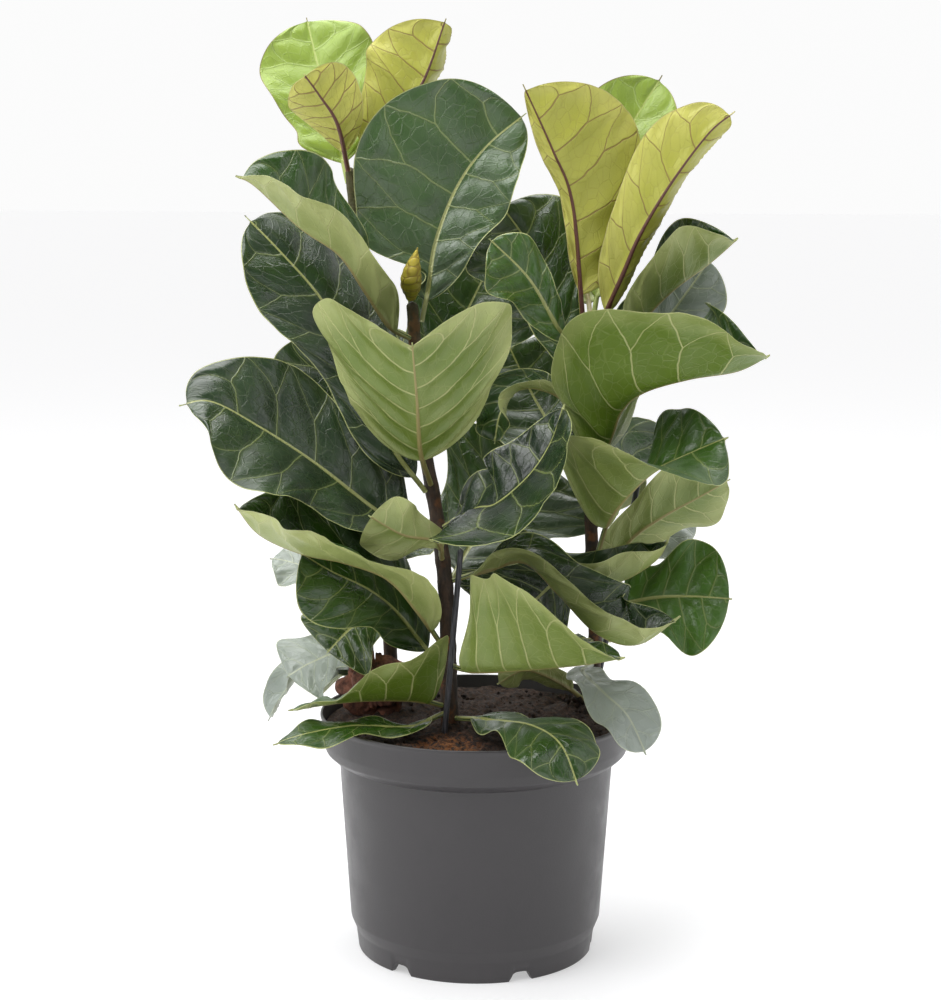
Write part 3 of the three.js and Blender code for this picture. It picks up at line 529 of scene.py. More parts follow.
# Each leaf as in the frame, by its stem and number: height on the stem, midrib points, width, the way its
# upper side looks, and how its halves fold and curl. A leaf that gives no right half bends as on its left.
# tint runs from dark (0) to bright (1) on the upper side, and deep from pale (0) to deep green (1) below.
# Both are partly the leaves' own tones and partly painted light: leaves in the shade of others get deeper,
# darker values as painted shade, and some get a brighter tint as painted sheen.
# paintedSheen greys a leaf's colour as a painted reflection of the lamps on its gloss.
leaves = {
    "a_01": dict(at=484, rib=[[-38, 13, 508], [-32, 20, 545], [-16, 26, 586], [6, 30, 616], [36, 32, 641]],
        width=166, face=[0.15, -1, 0.2], left=[4, 8, 6, 10], right=[20, 0, 20, 0], waist=0.1, sweep=-0.15,
        tip=0.2, lobe=[-0.4, 0], peak=1.3, size=[1, 0.52], tint=0.45, paintedSheen=0.04),
    "a_02": dict(at=473, rib=[[-66, -12, 483], [-83, -28, 510], [-101, -40, 537], [-129, -50, 557],
        [-160, -58, 586], [-174, -60, 593]], width=116, face=[0, 0, 1], left=[60, 5, 15, 10],
        right=[76, 10, 70, 10], size=[0.7, 1], tint=0.45, deep=0),
    "a_03": dict(at=402, rib=[[-30, 45, 445], [-8, 66, 490], [12, 80, 530]], width=120, face=[0, -1, 0.5],
        left=[10, 0]),
    "a_04": dict(at=362, rib=[[-42, -40, 392], [-44, -70, 434], [-47, -86, 476]], width=162,
        face=[0, 1, 0.3], left=[10, 18], right=[20, 25], waist=0, sweep=0.75, notch=1, tip=0, stalk=38,
        peak=1.1, size=[0.95, 1], deep=0.5),
    "a_05": dict(at=357, rib=[[-66, -18, 397], [-93, -13, 462], [-118, -9, 504], [-148, -6, 538],
        [-174, -3, 564]], width=124, face=[-0.2, -1, 0.4], left=[28, 10, 20, 10], right=[-45, -10],
        size=[0.72, 1.05], tint=0.15, paintedSheen=0.015),
    "a_06": dict(at=329, rib=[[-2, -30, 348], [14, -44, 354], [38, -50, 376], [54, -46, 400],
        [64, -40, 428]], width=140, face=[[0.3, -0.6, 0.9], [-0.5, 0, 1]], left=[50, 0, 45, 0],
        right=[-10, 0, 10, 0], waist=0, lobe=[0, -0.5], sweep=-0.1, stalk=12, size=[0.55, 0.9], peak=0.8,
        tip=0.3, tint=0.08),
    "a_07": dict(at=327, rib=[[20, 4, 320], [50, 2, 300], [80, -2, 288], [108, -6, 289], [136, -8, 306],
        [146, -8, 324]], width=60, face=[0, 0, 1], left=[80, 0], right=[70, 0, 60, 0]),
    "a_08": dict(at=324, rib=[[-69, -18, 340], [-121, -30, 382], [-160, -44, 410], [-194, -56, 430],
        [-217, -62, 428]], width=138, face=[0, -0.7, 0.7], left=[45, -10, 5, -10], right=[25, 10, 10, 10],
        sweep=0.2, peak=1.1, tip=0.2, size=[1, 0.85], tint=0.15, paintedSheen=0.02),
    "a_09": dict(at=306, rib=[[-30, -44, 326], [-54, -64, 334], [-79, -76, 350]], width=52,
        face=[0, 1, 0.3], left=[10, 0], right=[0, 0], waist=0, lobe=0, peak=2.2, deep=0.35),
    "a_10": dict(at=289, rib=[[8, -20, 300], [36, -34, 309], [62, -44, 286], [90, -50, 258],
        [120, -50, 250], [152, -44, 270]], width=96, face=[0, 0, 1], left=[56, 0, 80, 0],
        right=[100, 0, 60, 0], size=[1, 0.55], sweep=[0.2, 0], tint=0.2),
    "a_11": dict(at=288, rib=[[-2, 40, 312], [28, 76, 343], [52, 94, 372]], width=150, face=[0, -1, 0.6],
        left=[10, 0]),
    "a_12": dict(at=242, rib=[[-44, -38, 272], [-66, -50, 299], [-98, -60, 313], [-127, -66, 320],
        [-158, -72, 335], [-176, -76, 358]], width=130, face=[0, 0, 1], left=[26, -4, 20, 0],
        right=[60, 5, 62, 0], sweep=0.6, deep=0.05),
    "a_13": dict(at=226, rib=[[-8, -52, 230], [12, -66, 233], [46, -82, 239], [80, -94, 245],
        [107, -100, 251]], width=190, face=[0, 0, 1], left=[30, 0, 20, 0], right=[115, 0, 25, 0], peak=0.9,
        waist=0.2, lobe=0.05, tip=0.6, sweep=-0.1, size=[0.5, 1], stalk=30, deep=0.45),
    "a_14": dict(at=225, rib=[[-58, -28, 266], [-80, -42, 288], [-109, -54, 305], [-132, -58, 320]],
        width=92, face=[0, -0.6, 0.8], left=[-5, -20], right=[10, 10], tint=0.35),
    "a_15": dict(at=196, rib=[[-50, -46, 206], [-94, -60, 208], [-139, -70, 203]], width=116,
        face=[0, 0, 1], left=[85, 0, 10, 0], right=[10, 0, -20, 0], waist=0, lobe=[0.25, 0], peak=0.5,
        sweep=[-0.1, 0.2], size=[0.85, 0.4], tint=0.6, deep=0.75),
    "a_16": dict(at=190, rib=[[-50, -62, 189], [-90, -80, 194], [-124, -92, 191], [-148, -97, 184]],
        width=36, face=[0, -0.2, 1], left=[-15, -5], right=[-5, 0], tip=0.8, tint=0.45),
    "a_17": dict(at=186, rib=[[12, -54, 192], [40, -92, 198], [60, -122, 192], [72, -136, 166]], width=72,
        face=[0, -0.3, 1], left=[-12, -5], right=[-5, -10], deep=0.6),
    "b_01": dict(at=501, rib=[[70, 0, 574], [54, -12, 614], [32, -20, 660]], width=136, face=[0, 1, 0.2],
        left=[16, 10], right=[20, 10, 40, 10], tone="tender", waist=0.1, tip=0.3, wave=[2, 2, 0, 0.3],
        size=[1, 0.15], sweep=[0.1, 0.2], peak=1.2),
    "b_02": dict(at=487, rib=[[101, 44, 561], [113, 58, 622], [141, 64, 671]], width=82, face=[0, -1, 0.3],
        left=[10, 10], right=[20, 10], tone="young", waist=0.1, tip=0.5),
    "b_03": dict(at=479, rib=[[108, 0, 521], [120, -8, 551], [141, -16, 588], [168, -20, 625],
        [187, -22, 641]], width=88, face=[0, 1, 0.2], left=[80, 10], right=[24, 5], tone="tender",
        waist=0.1, tip=0.5, wave=[2, 2, 0, 0.3], size=[0.85, 0.85]),
    "b_04": dict(at=478, rib=[[86, 60, 500], [76, 98, 548], [66, 106, 580]], width=70, face=[0, 1, 0.4],
        left=[20, 10], stalk=40),
    "b_05": dict(at=458, rib=[[62, -6, 478], [38, -20, 518], [8, -30, 548]], width=80, face=[0, -1, 0.6],
        left=[20, 10], right=[10, -30], lobe=0, waist=0.35, stalk=26, size=[1, 0.6], tint=0.55),
    "b_06": dict(at=451, rib=[[123, 16, 485], [146, 4, 510], [173, -4, 531], [193, -8, 549]], width=92,
        face=[0, 0, 1], left=[82, 10], right=[50, 10]),
    "b_07": dict(at=434, rib=[[140, 50, 478], [162, 46, 507], [179, 42, 533]], width=66,
        face=[0.3, -1, 0.5], left=[20, 0], right=[0, -20], paintedSheen=0.35),
    "b_08": dict(at=423, rib=[[64, 36, 480], [42, 42, 536], [16, 44, 574]], width=112, face=[0, -1, 0.5],
        left=[10, 10], right=[0, -20], lobe=0, waist=0.35, peak=1.8, size=[1, 0.8]),
    "b_09": dict(at=416, rib=[[56, 16, 432], [32, 16, 434], [18, 12, 416], [13, 8, 392]], width=56,
        face=[0, -0.3, 1], left=[72, 5]),
    "b_10": dict(at=402, rib=[[108, 61, 384], [122, 85, 370], [132, 105, 346]], width=94,
        face=[0, -0.8, 0.7], left=[10, 0]),
    "b_11": dict(at=366, rib=[[101, -7, 402], [107, -21, 422], [122, -42, 438], [154, -57, 449],
        [188, -61, 455], [212, -56, 466]], width=170, face=[[-1, 0, 0.5], [0, 0, 1]], left=[-25, 0, 85, 0],
        right=[132, 0, 32, -40], waist=0, lobe=[-0.3, -0.1], sweep=[0.65, 0.08], stalk=20, size=[1.0, 0.9],
        peak=0.82, tint=0.35, deep=0.85),
    "b_12": dict(at=364, rib=[[65, 60, 389], [44, 88, 422], [24, 104, 462]], width=146, face=[0, -1, 0.5],
        left=[10, 0]),
    "b_13": dict(at=306, rib=[[101, 5, 335], [114, -12, 357], [132, -28, 377], [159, -38, 392],
        [185, -42, 404]], width=170, face=[[-0.6, 0.3, 0.8], [0, -0.5, 0.85]], left=[10, 0, 30, 0],
        right=[112, 0, -25, 0], waist=0.1, lobe=[-0.2, 0.3], sweep=[0.3, 0.2], size=[0.65, 0.95], peak=0.9,
        stalk=26, tint=0.6),
    "b_14": dict(at=299, rib=[[70, 50, 284], [48, 58, 262], [22, 62, 232]], width=130, face=[0, -0.8, 0.6],
        left=[15, 0], tint=0.1),
    "b_15": dict(at=272, rib=[[118, 70, 296], [146, 76, 318], [172, 78, 336]], width=66,
        face=[0, -0.7, 0.8], left=[0, 0], paintedSheen=0.6),
    "b_16": dict(at=270, rib=[[107, 30, 292], [120, 27, 316], [144, 21, 335], [173, 17, 352],
        [194, 14, 365]], width=70, face=[0, 1, 0.5], left=[20, 0], deep=0.5),
    "b_17": dict(at=260, rib=[[134, 12, 272], [164, 5, 275], [196, 0, 274]], width=95, face=[0, -0.8, 0.6],
        left=[10, 0], right=[-5, -20], lobe=0.3, sweep=0.1, tip=0.1, tint=0.85, veins=5),
    "b_18": dict(at=234, rib=[[84, 13, 240], [72, 8, 236], [60, 5, 231]], width=26, face=[0, -0.5, 1],
        left=[20, 0], stalk=8, wave=[1, 2, 0, 0.3]),
    "b_19": dict(at=226, rib=[[92, 74, 224], [82, 98, 211], [72, 112, 194]], width=96, face=[0, 0, 1],
        left=[15, 0]),
    "b_20": dict(at=216, rib=[[82, 2, 217], [86, -22, 216], [97, -42, 209], [113, -58, 196],
        [126, -70, 170]], width=52, face=[0, -0.5, 1], left=[10, 0], right=[12, 0], paintedSheen=0.6),
    "b_21": dict(at=187, rib=[[65, 14, 205], [38, 4, 217], [16, -2, 207]], width=36, face=[0, 1, 0.6],
        left=[20, 0], wave=[1, 2, 0, 0.3]),
    "c_01": dict(at=598, rib=[[-106, 22, 632], [-119, 14, 653], [-130, 10, 668]], width=62,
        face=[0, 1, 0.3], left=[20, 10], right=[30, 10], tone="tender", waist=0.05, lobe=0, sweep=0.2,
        notch=1, tip=0.3, wave=[1, 2, 0, 0.3]),
    "c_02": dict(at=594, rib=[[-72, 46, 626], [-44, 50, 662], [-25, 52, 712]], width=102, face=[0, 1, 0.2],
        left=[85, 20], right=[6, 6], tone="tender", waist=0, sweep=0.1, tip=0.5, size=[0.85, 0.95]),
    "c_03": dict(at=588, rib=[[-111, 62, 635], [-124, 78, 676], [-134, 90, 715]], width=92,
        face=[0, -1, 0.4], left=[8, 10], right=[10, 10], tone="young", waist=0.05, lobe=0.25,
        sweep=[0.1, 0.35], tip=0.2),
    "c_04": dict(at=341, rib=[[-89, 92, 384], [-103, 112, 431], [-111, 122, 478]], width=120,
        face=[0, -1, 0.5], left=[10, 0], tint=0.1),
    "c_05": dict(at=276, rib=[[-58, 74, 298], [-42, 86, 300], [-24, 98, 292]], width=84, face=[0, -0.3, 1],
        left=[15, 0]),
    "c_06": dict(at=264, rib=[[-82, 30, 257], [-99, 18, 245], [-116, 10, 228]], width=72, face=[0, -1, 0.6],
        left=[0, 0]),
    "c_07": dict(at=250, rib=[[-126, 84, 276], [-149, 88, 285], [-167, 90, 288]], width=64,
        face=[0, -0.4, 1], left=[0, 0], paintedSheen=0.5),
    "c_08": dict(at=206, rib=[[-104, 100, 204], [-142, 104, 190], [-160, 104, 170], [-171, 102, 150]],
        width=40, face=[0, -0.3, 1], left=[60, 0], paintedSheen=0.6),
    "c_09": dict(at=201, rib=[[-106, 84, 212], [-133, 82, 204], [-153, 76, 193]], width=76,
        face=[0, -0.6, 1], left=[0, 0], paintedSheen=0.5),
    "c_10": dict(at=190, rib=[[-80, 88, 192], [-106, 100, 192], [-128, 102, 172]], width=80, face=[0, 0, 1],
        left=[15, 0]),
}
leafDefaults = {
    "tone": "mature", "stalk": 16, "waist": 0.25, "lobe": 0.1, "peak": 1.42, "sweep": 0.4, "notch": 0,
    "tip": 0.45, "size": [1, 1], "wave": [4, 2.5, 0, 0.4], "veins": 6, "tint": 0.3, "deep": 0.4, "paintedSheen": 0,
}
blade = {
    "stalkRadius": 2.0, "thickness": 0.9, "keel": 7, "ribRadius": 1.9, "cell": 2.0, "mostRows": 104,
    "mostColumns": 30, "veinLean": 0.11, "veinOffset": 0.32, "forkFrom": 0.52, "forkRate": 1.05,
    "pucker": 2.2, "groove": 0.5, "rough": 0.5, "ruffle": 0.9,
}


def pair(value):
    return value if isinstance(value, list) else [value, value]


def ends(value):
    return value if len(value) == 4 else value + value


def ribCurve(leaf, stem):
    # the midrib starts just off the bark at the leaf's height, on the side that it goes to
    axis = curveThrough(stem["path"])
    distance = np.interp(leaf["at"], axis["line"][:, 2], axis["run"])
    node, slope = alongCurve(axis, distance)
    outward = np.asarray(leaf["rib"][0], float) - node
    steep = abs(unit(outward) @ slope)
    outward = unit(outward - slope * (outward @ slope))
    radius = mix(stem["baseRadius"], stem["topRadius"], distance / axis["length"])
    root = node + outward * (radius + gap + blade["stalkRadius"] * steep)
    return curveThrough([root] + leaf["rib"])


def halfWidth(leaf, t, s):
    # root of a sine hump, narrowed at the waist, rounded at the base, and straight to the tip
    lobe, size = (np.where(s < 0, *pair(leaf[key])) for key in ("lobe", "size"))
    x = np.minimum(1, t / 0.97)
    body = np.sqrt(np.maximum(0, np.sin(np.pi * x ** leaf["peak"])))
    outline = body * (1 - leaf["waist"] * bump(x, 0.36, 0.15)) + lobe * bump(x, 0.13, 0.08)
    point = np.where(t > 0.5, leaf["tip"] * (1 - t), 0)
    least = mix(blade["stalkRadius"], 0.4, t)
    return np.maximum(least, size * leaf["width"] / 2 * np.maximum(outline, point))


def upperAxes(leaf, curve, distance):
    # the rib's place, the way the upper side looks there, and the way across the blade
    face = leaf["face"] if isinstance(leaf["face"][0], list) else [leaf["face"], leaf["face"]]
    place, slope = alongCurve(curve, distance)
    share = np.clip(distance / curve["length"], 0, 1)[..., None]
    looks = unit(np.array(face[0], float)) * (1 - share) + unit(np.array(face[1], float)) * share
    looks = unit(looks - slope * (looks * slope).sum(-1, keepdims=True))
    return place, looks, np.cross(slope, looks)


def bladeGrid(leaf, curve, t, s):
    # across each half the section starts flat, bends up to the fold angle within the keel and curls on;
    # its points are the running sum of short steps at that angle, and the margin waves
    width = halfWidth(leaf, t, s)
    out = width * np.abs(s)
    sweep = np.where(s < 0, *pair(leaf["sweep"]))
    lean = sweep * np.minimum(1, t / 0.15) * (1 - (1 - leaf["notch"]) * t ** 4)
    distance = mix(leaf["stalk"], curve["length"], t) + lean * out * np.sqrt(np.abs(s))
    place, looks, across = upperAxes(leaf, curve, distance)
    bends = zip(ends(leaf["left"]), ends(leaf["right"]))
    fold0, curl0, fold1, curl1 = (np.where(s < 0, left, right) for left, right in bends)
    fold, curl = mix(fold0, fold1, t), mix(curl0, curl1, t)

    def angleAt(v):
        return np.radians(fold * (1 - np.exp(-v / blade["keel"])) + curl * (2 * v / leaf["width"]) ** 1.4)

    steps = [angleAt(out * k) for k in (np.arange(12) + 0.5) / 12]
    sideways, upwards = (sum(f(a) for a in steps) * out / len(steps) for f in (np.cos, np.sin))
    end, side = angleAt(out), np.sign(s)
    normal = looks * np.cos(end)[..., None] - across * (side * np.sin(end))[..., None]
    height, count, left, right = leaf["wave"]
    swing = np.sin(2 * np.pi * (count * t + np.where(s < 0, left, right)))
    wave = height * s * s * swing * np.sqrt(np.sin(np.pi * t).clip(0))
    middle = place + across * (side * sideways)[..., None] + looks * upwards[..., None]
    return middle + normal * wave[..., None], normal, out, width


def puckered(leaf, middle, phase, spacing, seed, t, s):
    # how far the blade swells between its side veins, sinks along them and ruffles at its margin
    side = np.abs(s)
    fork = np.maximum(0, side - blade["forkFrom"]) * blade["forkRate"]
    reach = np.abs(np.abs(phase - np.round(phase)) - fork) * spacing
    field = smooth(0.03, 0.2, side) * smooth(1.0, 0.82, side) * smooth(0.0, 0.08, t) * smooth(1.0, 0.9, t)
    small = min(1.0, leaf["width"] / 110)
    swell = blade["pucker"] * small * (1 - np.exp(-(reach / (0.22 * spacing)) ** 2)) * field
    groove = blade["groove"] * np.exp(-(reach / 1.5) ** 2) * field
    rough = blade["rough"] * ripple(middle, 13.0, seed) * field
    ruffle = blade["ruffle"] * small * smooth(0.72, 1.0, side) * ripple(middle, 7.5, seed + 1)
    return swell - groove + rough + ruffle * smooth(0.03, 0.12, t)


def sheetFaces(rows, columns):
    # both sides of a grid, the lower one's points numbered after the upper one's, and the rim between them
    count = rows * columns
    quads = gridFaces(rows, columns)
    grid = np.arange(count).reshape(rows, columns)
    border = np.concatenate([grid[0], grid[1:, -1], grid[-1, -2::-1], grid[-2:0:-1, 0]])
    after = np.roll(border, -1)
    rim = np.stack([border + count, after + count, after, border], -1)
    return np.vstack([quads[:, ::-1], quads + count, rim])


def makeLeaf(name, leaf, stem, material):
    curve = ribCurve(leaf, stem)
    length = curve["length"] - leaf["stalk"]
    rows = int(np.clip(length / blade["cell"], 24, blade["mostRows"]))
    columns = int(np.clip(leaf["width"] / 2 / blade["cell"], 10, blade["mostColumns"]))

    # t runs along the blade and s across it, from -1 to 1, with finer cells at the ends, rib and margins
    x, half = np.linspace(0, 1, rows), np.linspace(0, 1, columns)
    half = half - 0.11 * np.sin(2 * np.pi * half)
    s = np.concatenate([-half[:0:-1], half])[None, :]
    t, s = np.broadcast_arrays((x - 0.1 * np.sin(2 * np.pi * x))[:, None], s)
    middle, normal, out, width = bladeGrid(leaf, curve, t, s)

    # side veins lie at whole numbers of the phase; they lean to the tip, and the two halves alternate
    shift = np.where(s < 0, 0, blade["veinOffset"])
    phase = leaf["veins"] * (t - blade["veinLean"] * np.abs(s) ** 1.25) + shift
    spacing = length / leaf["veins"]
    seed = sum(ord(letter) * (k + 3) for k, letter in enumerate(name)) % 97
    middle = middle + normal * puckered(leaf, middle, phase, spacing, seed, t, s)[..., None]

    # the stalk: a round rod that flattens into the blade, with its own rows before the blade's
    k = np.linspace(0, 1, 9)[:-1, None]
    along, stalkSide = np.broadcast_arrays(k * leaf["stalk"], s[:1])
    place, looks, across = upperAxes(leaf, curve, along)
    middle = np.vstack([place + across * (stalkSide * blade["stalkRadius"])[..., None], middle])
    normal = np.vstack([looks, normal])
    grow = np.vstack([0 * along, smooth(0, 0.05, t)])
    margin = np.vstack([3 + 0 * along, width - out])
    phase = np.vstack([0 * along, phase])
    out = np.vstack([blade["stalkRadius"] * np.abs(stalkSide), out])
    t, s = np.vstack([k - 1 + 0 * along, t]), np.vstack([stalkSide, s])

    # half the thickness on each side, thin at the margin, with the rib sunk above and standing out below
    rib = mix(blade["ribRadius"], 0.3, np.clip(t, 0, 1))
    stalk = blade["stalkRadius"] * np.sqrt(np.clip(1 - s ** 2, 0.02, 1))
    plate = blade["thickness"] / 2 * np.sqrt(np.clip(1 - s ** 8, 0.04, 1))
    above = mix(stalk, plate - 0.5 * rib * np.exp(-(out / (0.8 * rib)) ** 2) * (1 - 0.5 * t), grow)
    below = mix(stalk, plate + 1.15 * rib * np.exp(-(out / rib) ** 2), grow)
    places = np.stack([middle + normal * above[..., None], middle - normal * below[..., None]])

    veinFacts = np.stack([phase + 10 * seed, s, spacing + 0 * s], -1).reshape(-1, 3)
    bladeFacts = np.stack([out, margin, t], -1).reshape(-1, 3)
    isUpper = np.repeat([1.0, 0.0], s.size)
    tone = np.stack([isUpper, mix(leaf["deep"], leaf["tint"], isUpper), leaf["paintedSheen"] + 0 * isUpper], -1)
    facts = {"veinMap": np.tile(veinFacts, (2, 1)), "bladeMap": np.tile(bladeFacts, (2, 1)), "toneAndSheenMap": tone}
    slot = "leaf_" + leaf["tone"]
    makePiece(name + "_fine", places.reshape(-1, 3), sheetFaces(*s.shape), material, [name], slot, facts)


leafColors = {
    "mature": {
        "topDark": (14, 32, 18), "topBright": (60, 102, 4), "under": (164, 172, 106),
        "underDeep": (88, 112, 16), "vein": (138, 150, 88), "veinUnder": (184, 186, 126),
        "rib": (156, 160, 96), "ribUnder": (150, 138, 84), "edge": (178, 184, 120),
        "gloss": (0.18, 0.32), "underGloss": 0.5, "shine": 0.75,
    },
    "young": {
        "topDark": (126, 152, 52), "topBright": (168, 188, 92), "under": (186, 198, 112),
        "underDeep": (158, 176, 80), "vein": (186, 206, 132), "veinUnder": (170, 176, 96),
        "rib": (176, 190, 110), "ribUnder": (140, 122, 64), "edge": (150, 140, 84),
        "gloss": (0.22, 0.36), "underGloss": 0.45, "shine": 0.5,
    },
    "tender": {
        "topDark": (150, 156, 62), "topBright": (184, 190, 90), "under": (190, 188, 92),
        "underDeep": (154, 156, 50), "vein": (120, 92, 50), "veinUnder": (122, 88, 52),
        "rib": (96, 60, 44), "ribUnder": (92, 52, 44), "edge": (184, 176, 110),
        "gloss": (0.3, 0.42), "underGloss": 0.42, "shine": 0.5,
    },
}
paintedSheenGrey = (186, 194, 188)  # the grey of the painted sheen, a painted reflection of the lamps, which a leaf's share turns towards


def leafMaterial(tone):
    # thin lines where a vertex fact says that they are near: side veins at whole numbers of the phase,
    # which fork towards the margin, a net of cells between them, the rib in the middle and a pale edge
    colors = leafColors[tone]
    n = Nodes("leaf_" + tone)
    phase, s, spacing = n.split(n.attribute("veinMap"))
    out, margin, t = n.split(n.attribute("bladeMap"))
    upper, tint, paintedSheen = n.split(n.attribute("toneAndSheenMap"))
    spot = n.place()
    side = n.math("ABSOLUTE", s)
    onBlade = n.step(t, 0.0, 0.03)
    isTop = n.step(upper, 0.4, 0.6)

    wander = n.times(n.math("SUBTRACT", n.noise(spot, 60.0), 0.5), 0.13)
    wandering = n.plus(phase, wander)
    off = n.math("ABSOLUTE", n.math("SUBTRACT", wandering, n.math("ROUND", wandering)))
    fork = n.times(n.math("MAXIMUM", n.math("SUBTRACT", side, blade["forkFrom"]), 0.0), blade["forkRate"])
    reach = n.times(n.math("ABSOLUTE", n.math("SUBTRACT", off, fork)), spacing)
    thin = n.step(side, 0.0, 0.95, 0.4, 0.12)
    sideVein = n.times(n.step(n.math("SUBTRACT", reach, thin), 0.0, 0.45, 1.0, 0.0), onBlade)
    halo = n.times(n.step(reach, 0.3, 4.5, 1.0, 0.0), onBlade)
    netPlace = n.join(n.times(wandering, spacing), n.plus(out, n.times(s, 3.0)), 0.0)
    net = n.times(n.step(n.cells(netPlace, 0.13), 0.0, 0.055, 1.0, 0.0), n.times(onBlade, 0.42))
    fineNet = n.step(n.cells(netPlace, 0.42), 0.0, 0.12, 1.0, 0.0)
    rib = n.step(n.math("SUBTRACT", out, n.step(t, -0.1, 1.0, 1.5, 0.35)), 0.0, 0.5, 1.0, 0.0)
    edge = n.times(n.step(margin, 0.25, 0.95, 1.0, 0.0), onBlade)
    mottle = n.times(n.math("SUBTRACT", n.noise(spot, 34.0, 3.0), 0.5), 0.5)
    shade = n.plus(tint, mottle, True)

    def veined(color, sideShare, netShare, veinColor, ribColor):
        veins = n.math("MAXIMUM", n.times(sideVein, sideShare), n.times(net, netShare))
        return n.blend(rib, n.blend(veins, color, veinColor), ribColor)

    top = n.blend(shade, colors["topDark"], colors["topBright"])
    top = n.blend(n.times(halo, 0.07), top, colors["vein"])
    top = veined(top, 0.5, 0.12, colors["vein"], colors["rib"])
    inner = n.plus(shade, n.step(margin, 1.0, 28.0, -0.3, 0.3), True)
    under = n.blend(inner, colors["under"], colors["underDeep"])
    under = veined(under, 0.7, 0.25, colors["veinUnder"], colors["ribUnder"])
    color = n.blend(edge, n.blend(isTop, under, top), colors["edge"])
    # painted sheen: the colour turns towards grey by the leaf's share, a painted reflection of the lamps
    color = n.blend(paintedSheen, color, paintedSheenGrey)

    relief = n.plus(n.plus(sideVein, net), n.times(fineNet, 0.12))
    relief = n.times(relief, n.step(upper, 0.4, 0.6, 1.0, -1.0))
    n.bump(n.plus(relief, n.times(n.noise(spot, 260.0), 0.25)), 0.0006, 0.6)
    gloss = n.plus(n.step(n.noise(spot, 22.0, 3.0), 0.35, 0.7, *colors["gloss"]), n.times(tint, 0.16))
    lowerShare = n.math("SUBTRACT", 1.0, upper)
    gloss = n.plus(n.times(gloss, upper), n.times(lowerShare, colors["underGloss"]))
    return n.finish(color, gloss, Specular_IOR_Level=colors["shine"])


def makeLeaves():
    materials = {tone: leafMaterial(tone) for tone in leafColors}
    for name, facts in leaves.items():
        leaf = {**leafDefaults, "right": facts["left"], **facts}
        makeLeaf("leaf_" + name, leaf, stems[name[0]], materials[leaf["tone"]])


makeStems()
makeCanes()
print("stems and canes made")
makeLeaves()
print("leaves made:", len(leaves))


# The bud and the dried sheath.

bud = {
    "path": [[-50.5, 7, 502], [-50.5, 4, 508], [-50, -8, 520], [-45, -13, 541]], "radius": 8,
    "low": (158, 148, 44), "high": (190, 172, 62), "vein": (120, 92, 38), "from": 0.505, "to": 0.54,
}
driedSheath = {
    "centre": [-79, 22, 200], "halfSize": [25, 12, 20], "rows": 120, "columns": 160,
    "dark": (48, 26, 20), "light": (134, 86, 66), "roughness": 0.85,
}


def budMaterial():
    n = Nodes("budSkin")
    spot = n.place()
    veins = n.cells(n.stretch(spot, 90.0, 90.0, 150.0), 1.0)
    vein = n.step(veins, 0.0, 0.1, 1.0, 0.0)
    color = n.blend(n.step(n.split(spot)[2], bud["from"], bud["to"]), bud["low"], bud["high"])
    n.bump(n.times(vein, -1.0), 0.0006, 0.6)
    return n.finish(n.blend(n.times(vein, 0.6), color, bud["vein"]), n.step(veins, 0.0, 0.3, 0.5, 0.38))


def makeBud():
    # a rolled leaf: a spindle with a spiral seam and fine ribs that run round it askew
    def radius(share):
        return np.maximum(0.6, bud["radius"] * np.sin(np.pi * (0.12 + 0.88 * share) ** 0.9))

    def swell(share, turn):
        roll = (turn / (2 * np.pi) + 0.55 * share) % 1
        return 0.9 + 0.14 * roll + 0.03 * np.cos(2 * np.pi * 7 * (share - 0.12 * roll))

    shape = closePoles(tube(curveThrough(bud["path"]), radius, 90, 64, swell))
    makePiece("bud_fine", *shape, budMaterial(), ["bud"], "leaf_tender")


def sheathMaterial():
    n = Nodes("drySheath")
    tone = n.noise(n.place(), 130.0, 5.0, 0.65)
    n.bump(tone, 0.002, 0.8)
    color = n.blend(n.step(tone, 0.3, 0.72), driedSheath["dark"], driedSheath["light"])
    return n.finish(color, driedSheath["roughness"])


def makeSheath():
    # a ball pressed flat and crumpled, as in the frame, with finer folds on it
    down = np.linspace(0, np.pi, driedSheath["rows"])[:, None]
    turn = np.linspace(0, 2 * np.pi, driedSheath["columns"], endpoint=False)[None, :]
    p = np.stack([np.sin(down) * np.cos(turn), np.sin(down) * np.sin(turn), np.cos(down) + 0 * turn], -1)
    z = p[..., 2]
    crumple = 1 + 0.22 * np.sin(3 * turn + 4 * z) + 0.14 * np.sin(5 * turn - 3 * z)
    folds = 0.07 * np.abs(np.sin(9 * turn + 5 * z + 2 * ripple(p, 0.4))) + 0.05 * ripple(p, 0.12)
    places = p * (crumple + folds - 0.05)[..., None] * driedSheath["halfSize"] + driedSheath["centre"]
    makePiece("dried_sheath_fine", *closePoles(places), sheathMaterial(), ["dried_sheath"], "dry_sheath")


makeBud()
makeSheath()
print("bud and sheath made")


# The peat.

# Mounds and the heap give x, y, height and spread; the rusty patch its middle and squared reach, in metres.
peat = {
    "level": 176, "mounds": [[-20, -28, 5, 26], [88, 34, 7, 24], [-67, 58, 6, 28], [96, 48, 9, 9]],
    "clods": [1.4, 0.9], "rings": 150, "spokes": 420,
    "crumbs": 520, "heap": [92, 44, 5, 9], "heapShare": 0.22, "rimClear": 8, "seed": 7,
    "dark": (30, 22, 18), "light": (78, 58, 46), "rusty": (132, 82, 44),
    "rustyAt": (-0.022, -0.075), "rustyReach": (0.0002, 0.0012),
}


def peatHeight(x, y):
    # the frame's mounds and clods
    coarse, fine = peat["clods"]
    clods = coarse * np.sin(x / 6.1 + 2) * np.cos(y / 7.3) + fine * np.sin(x / 3.2 - y / 4.1)
    humps = (h * np.exp(-((x - cx) ** 2 + (y - cy) ** 2) / reach ** 2) for cx, cy, h, reach in peat["mounds"])
    return sum(humps) + clods


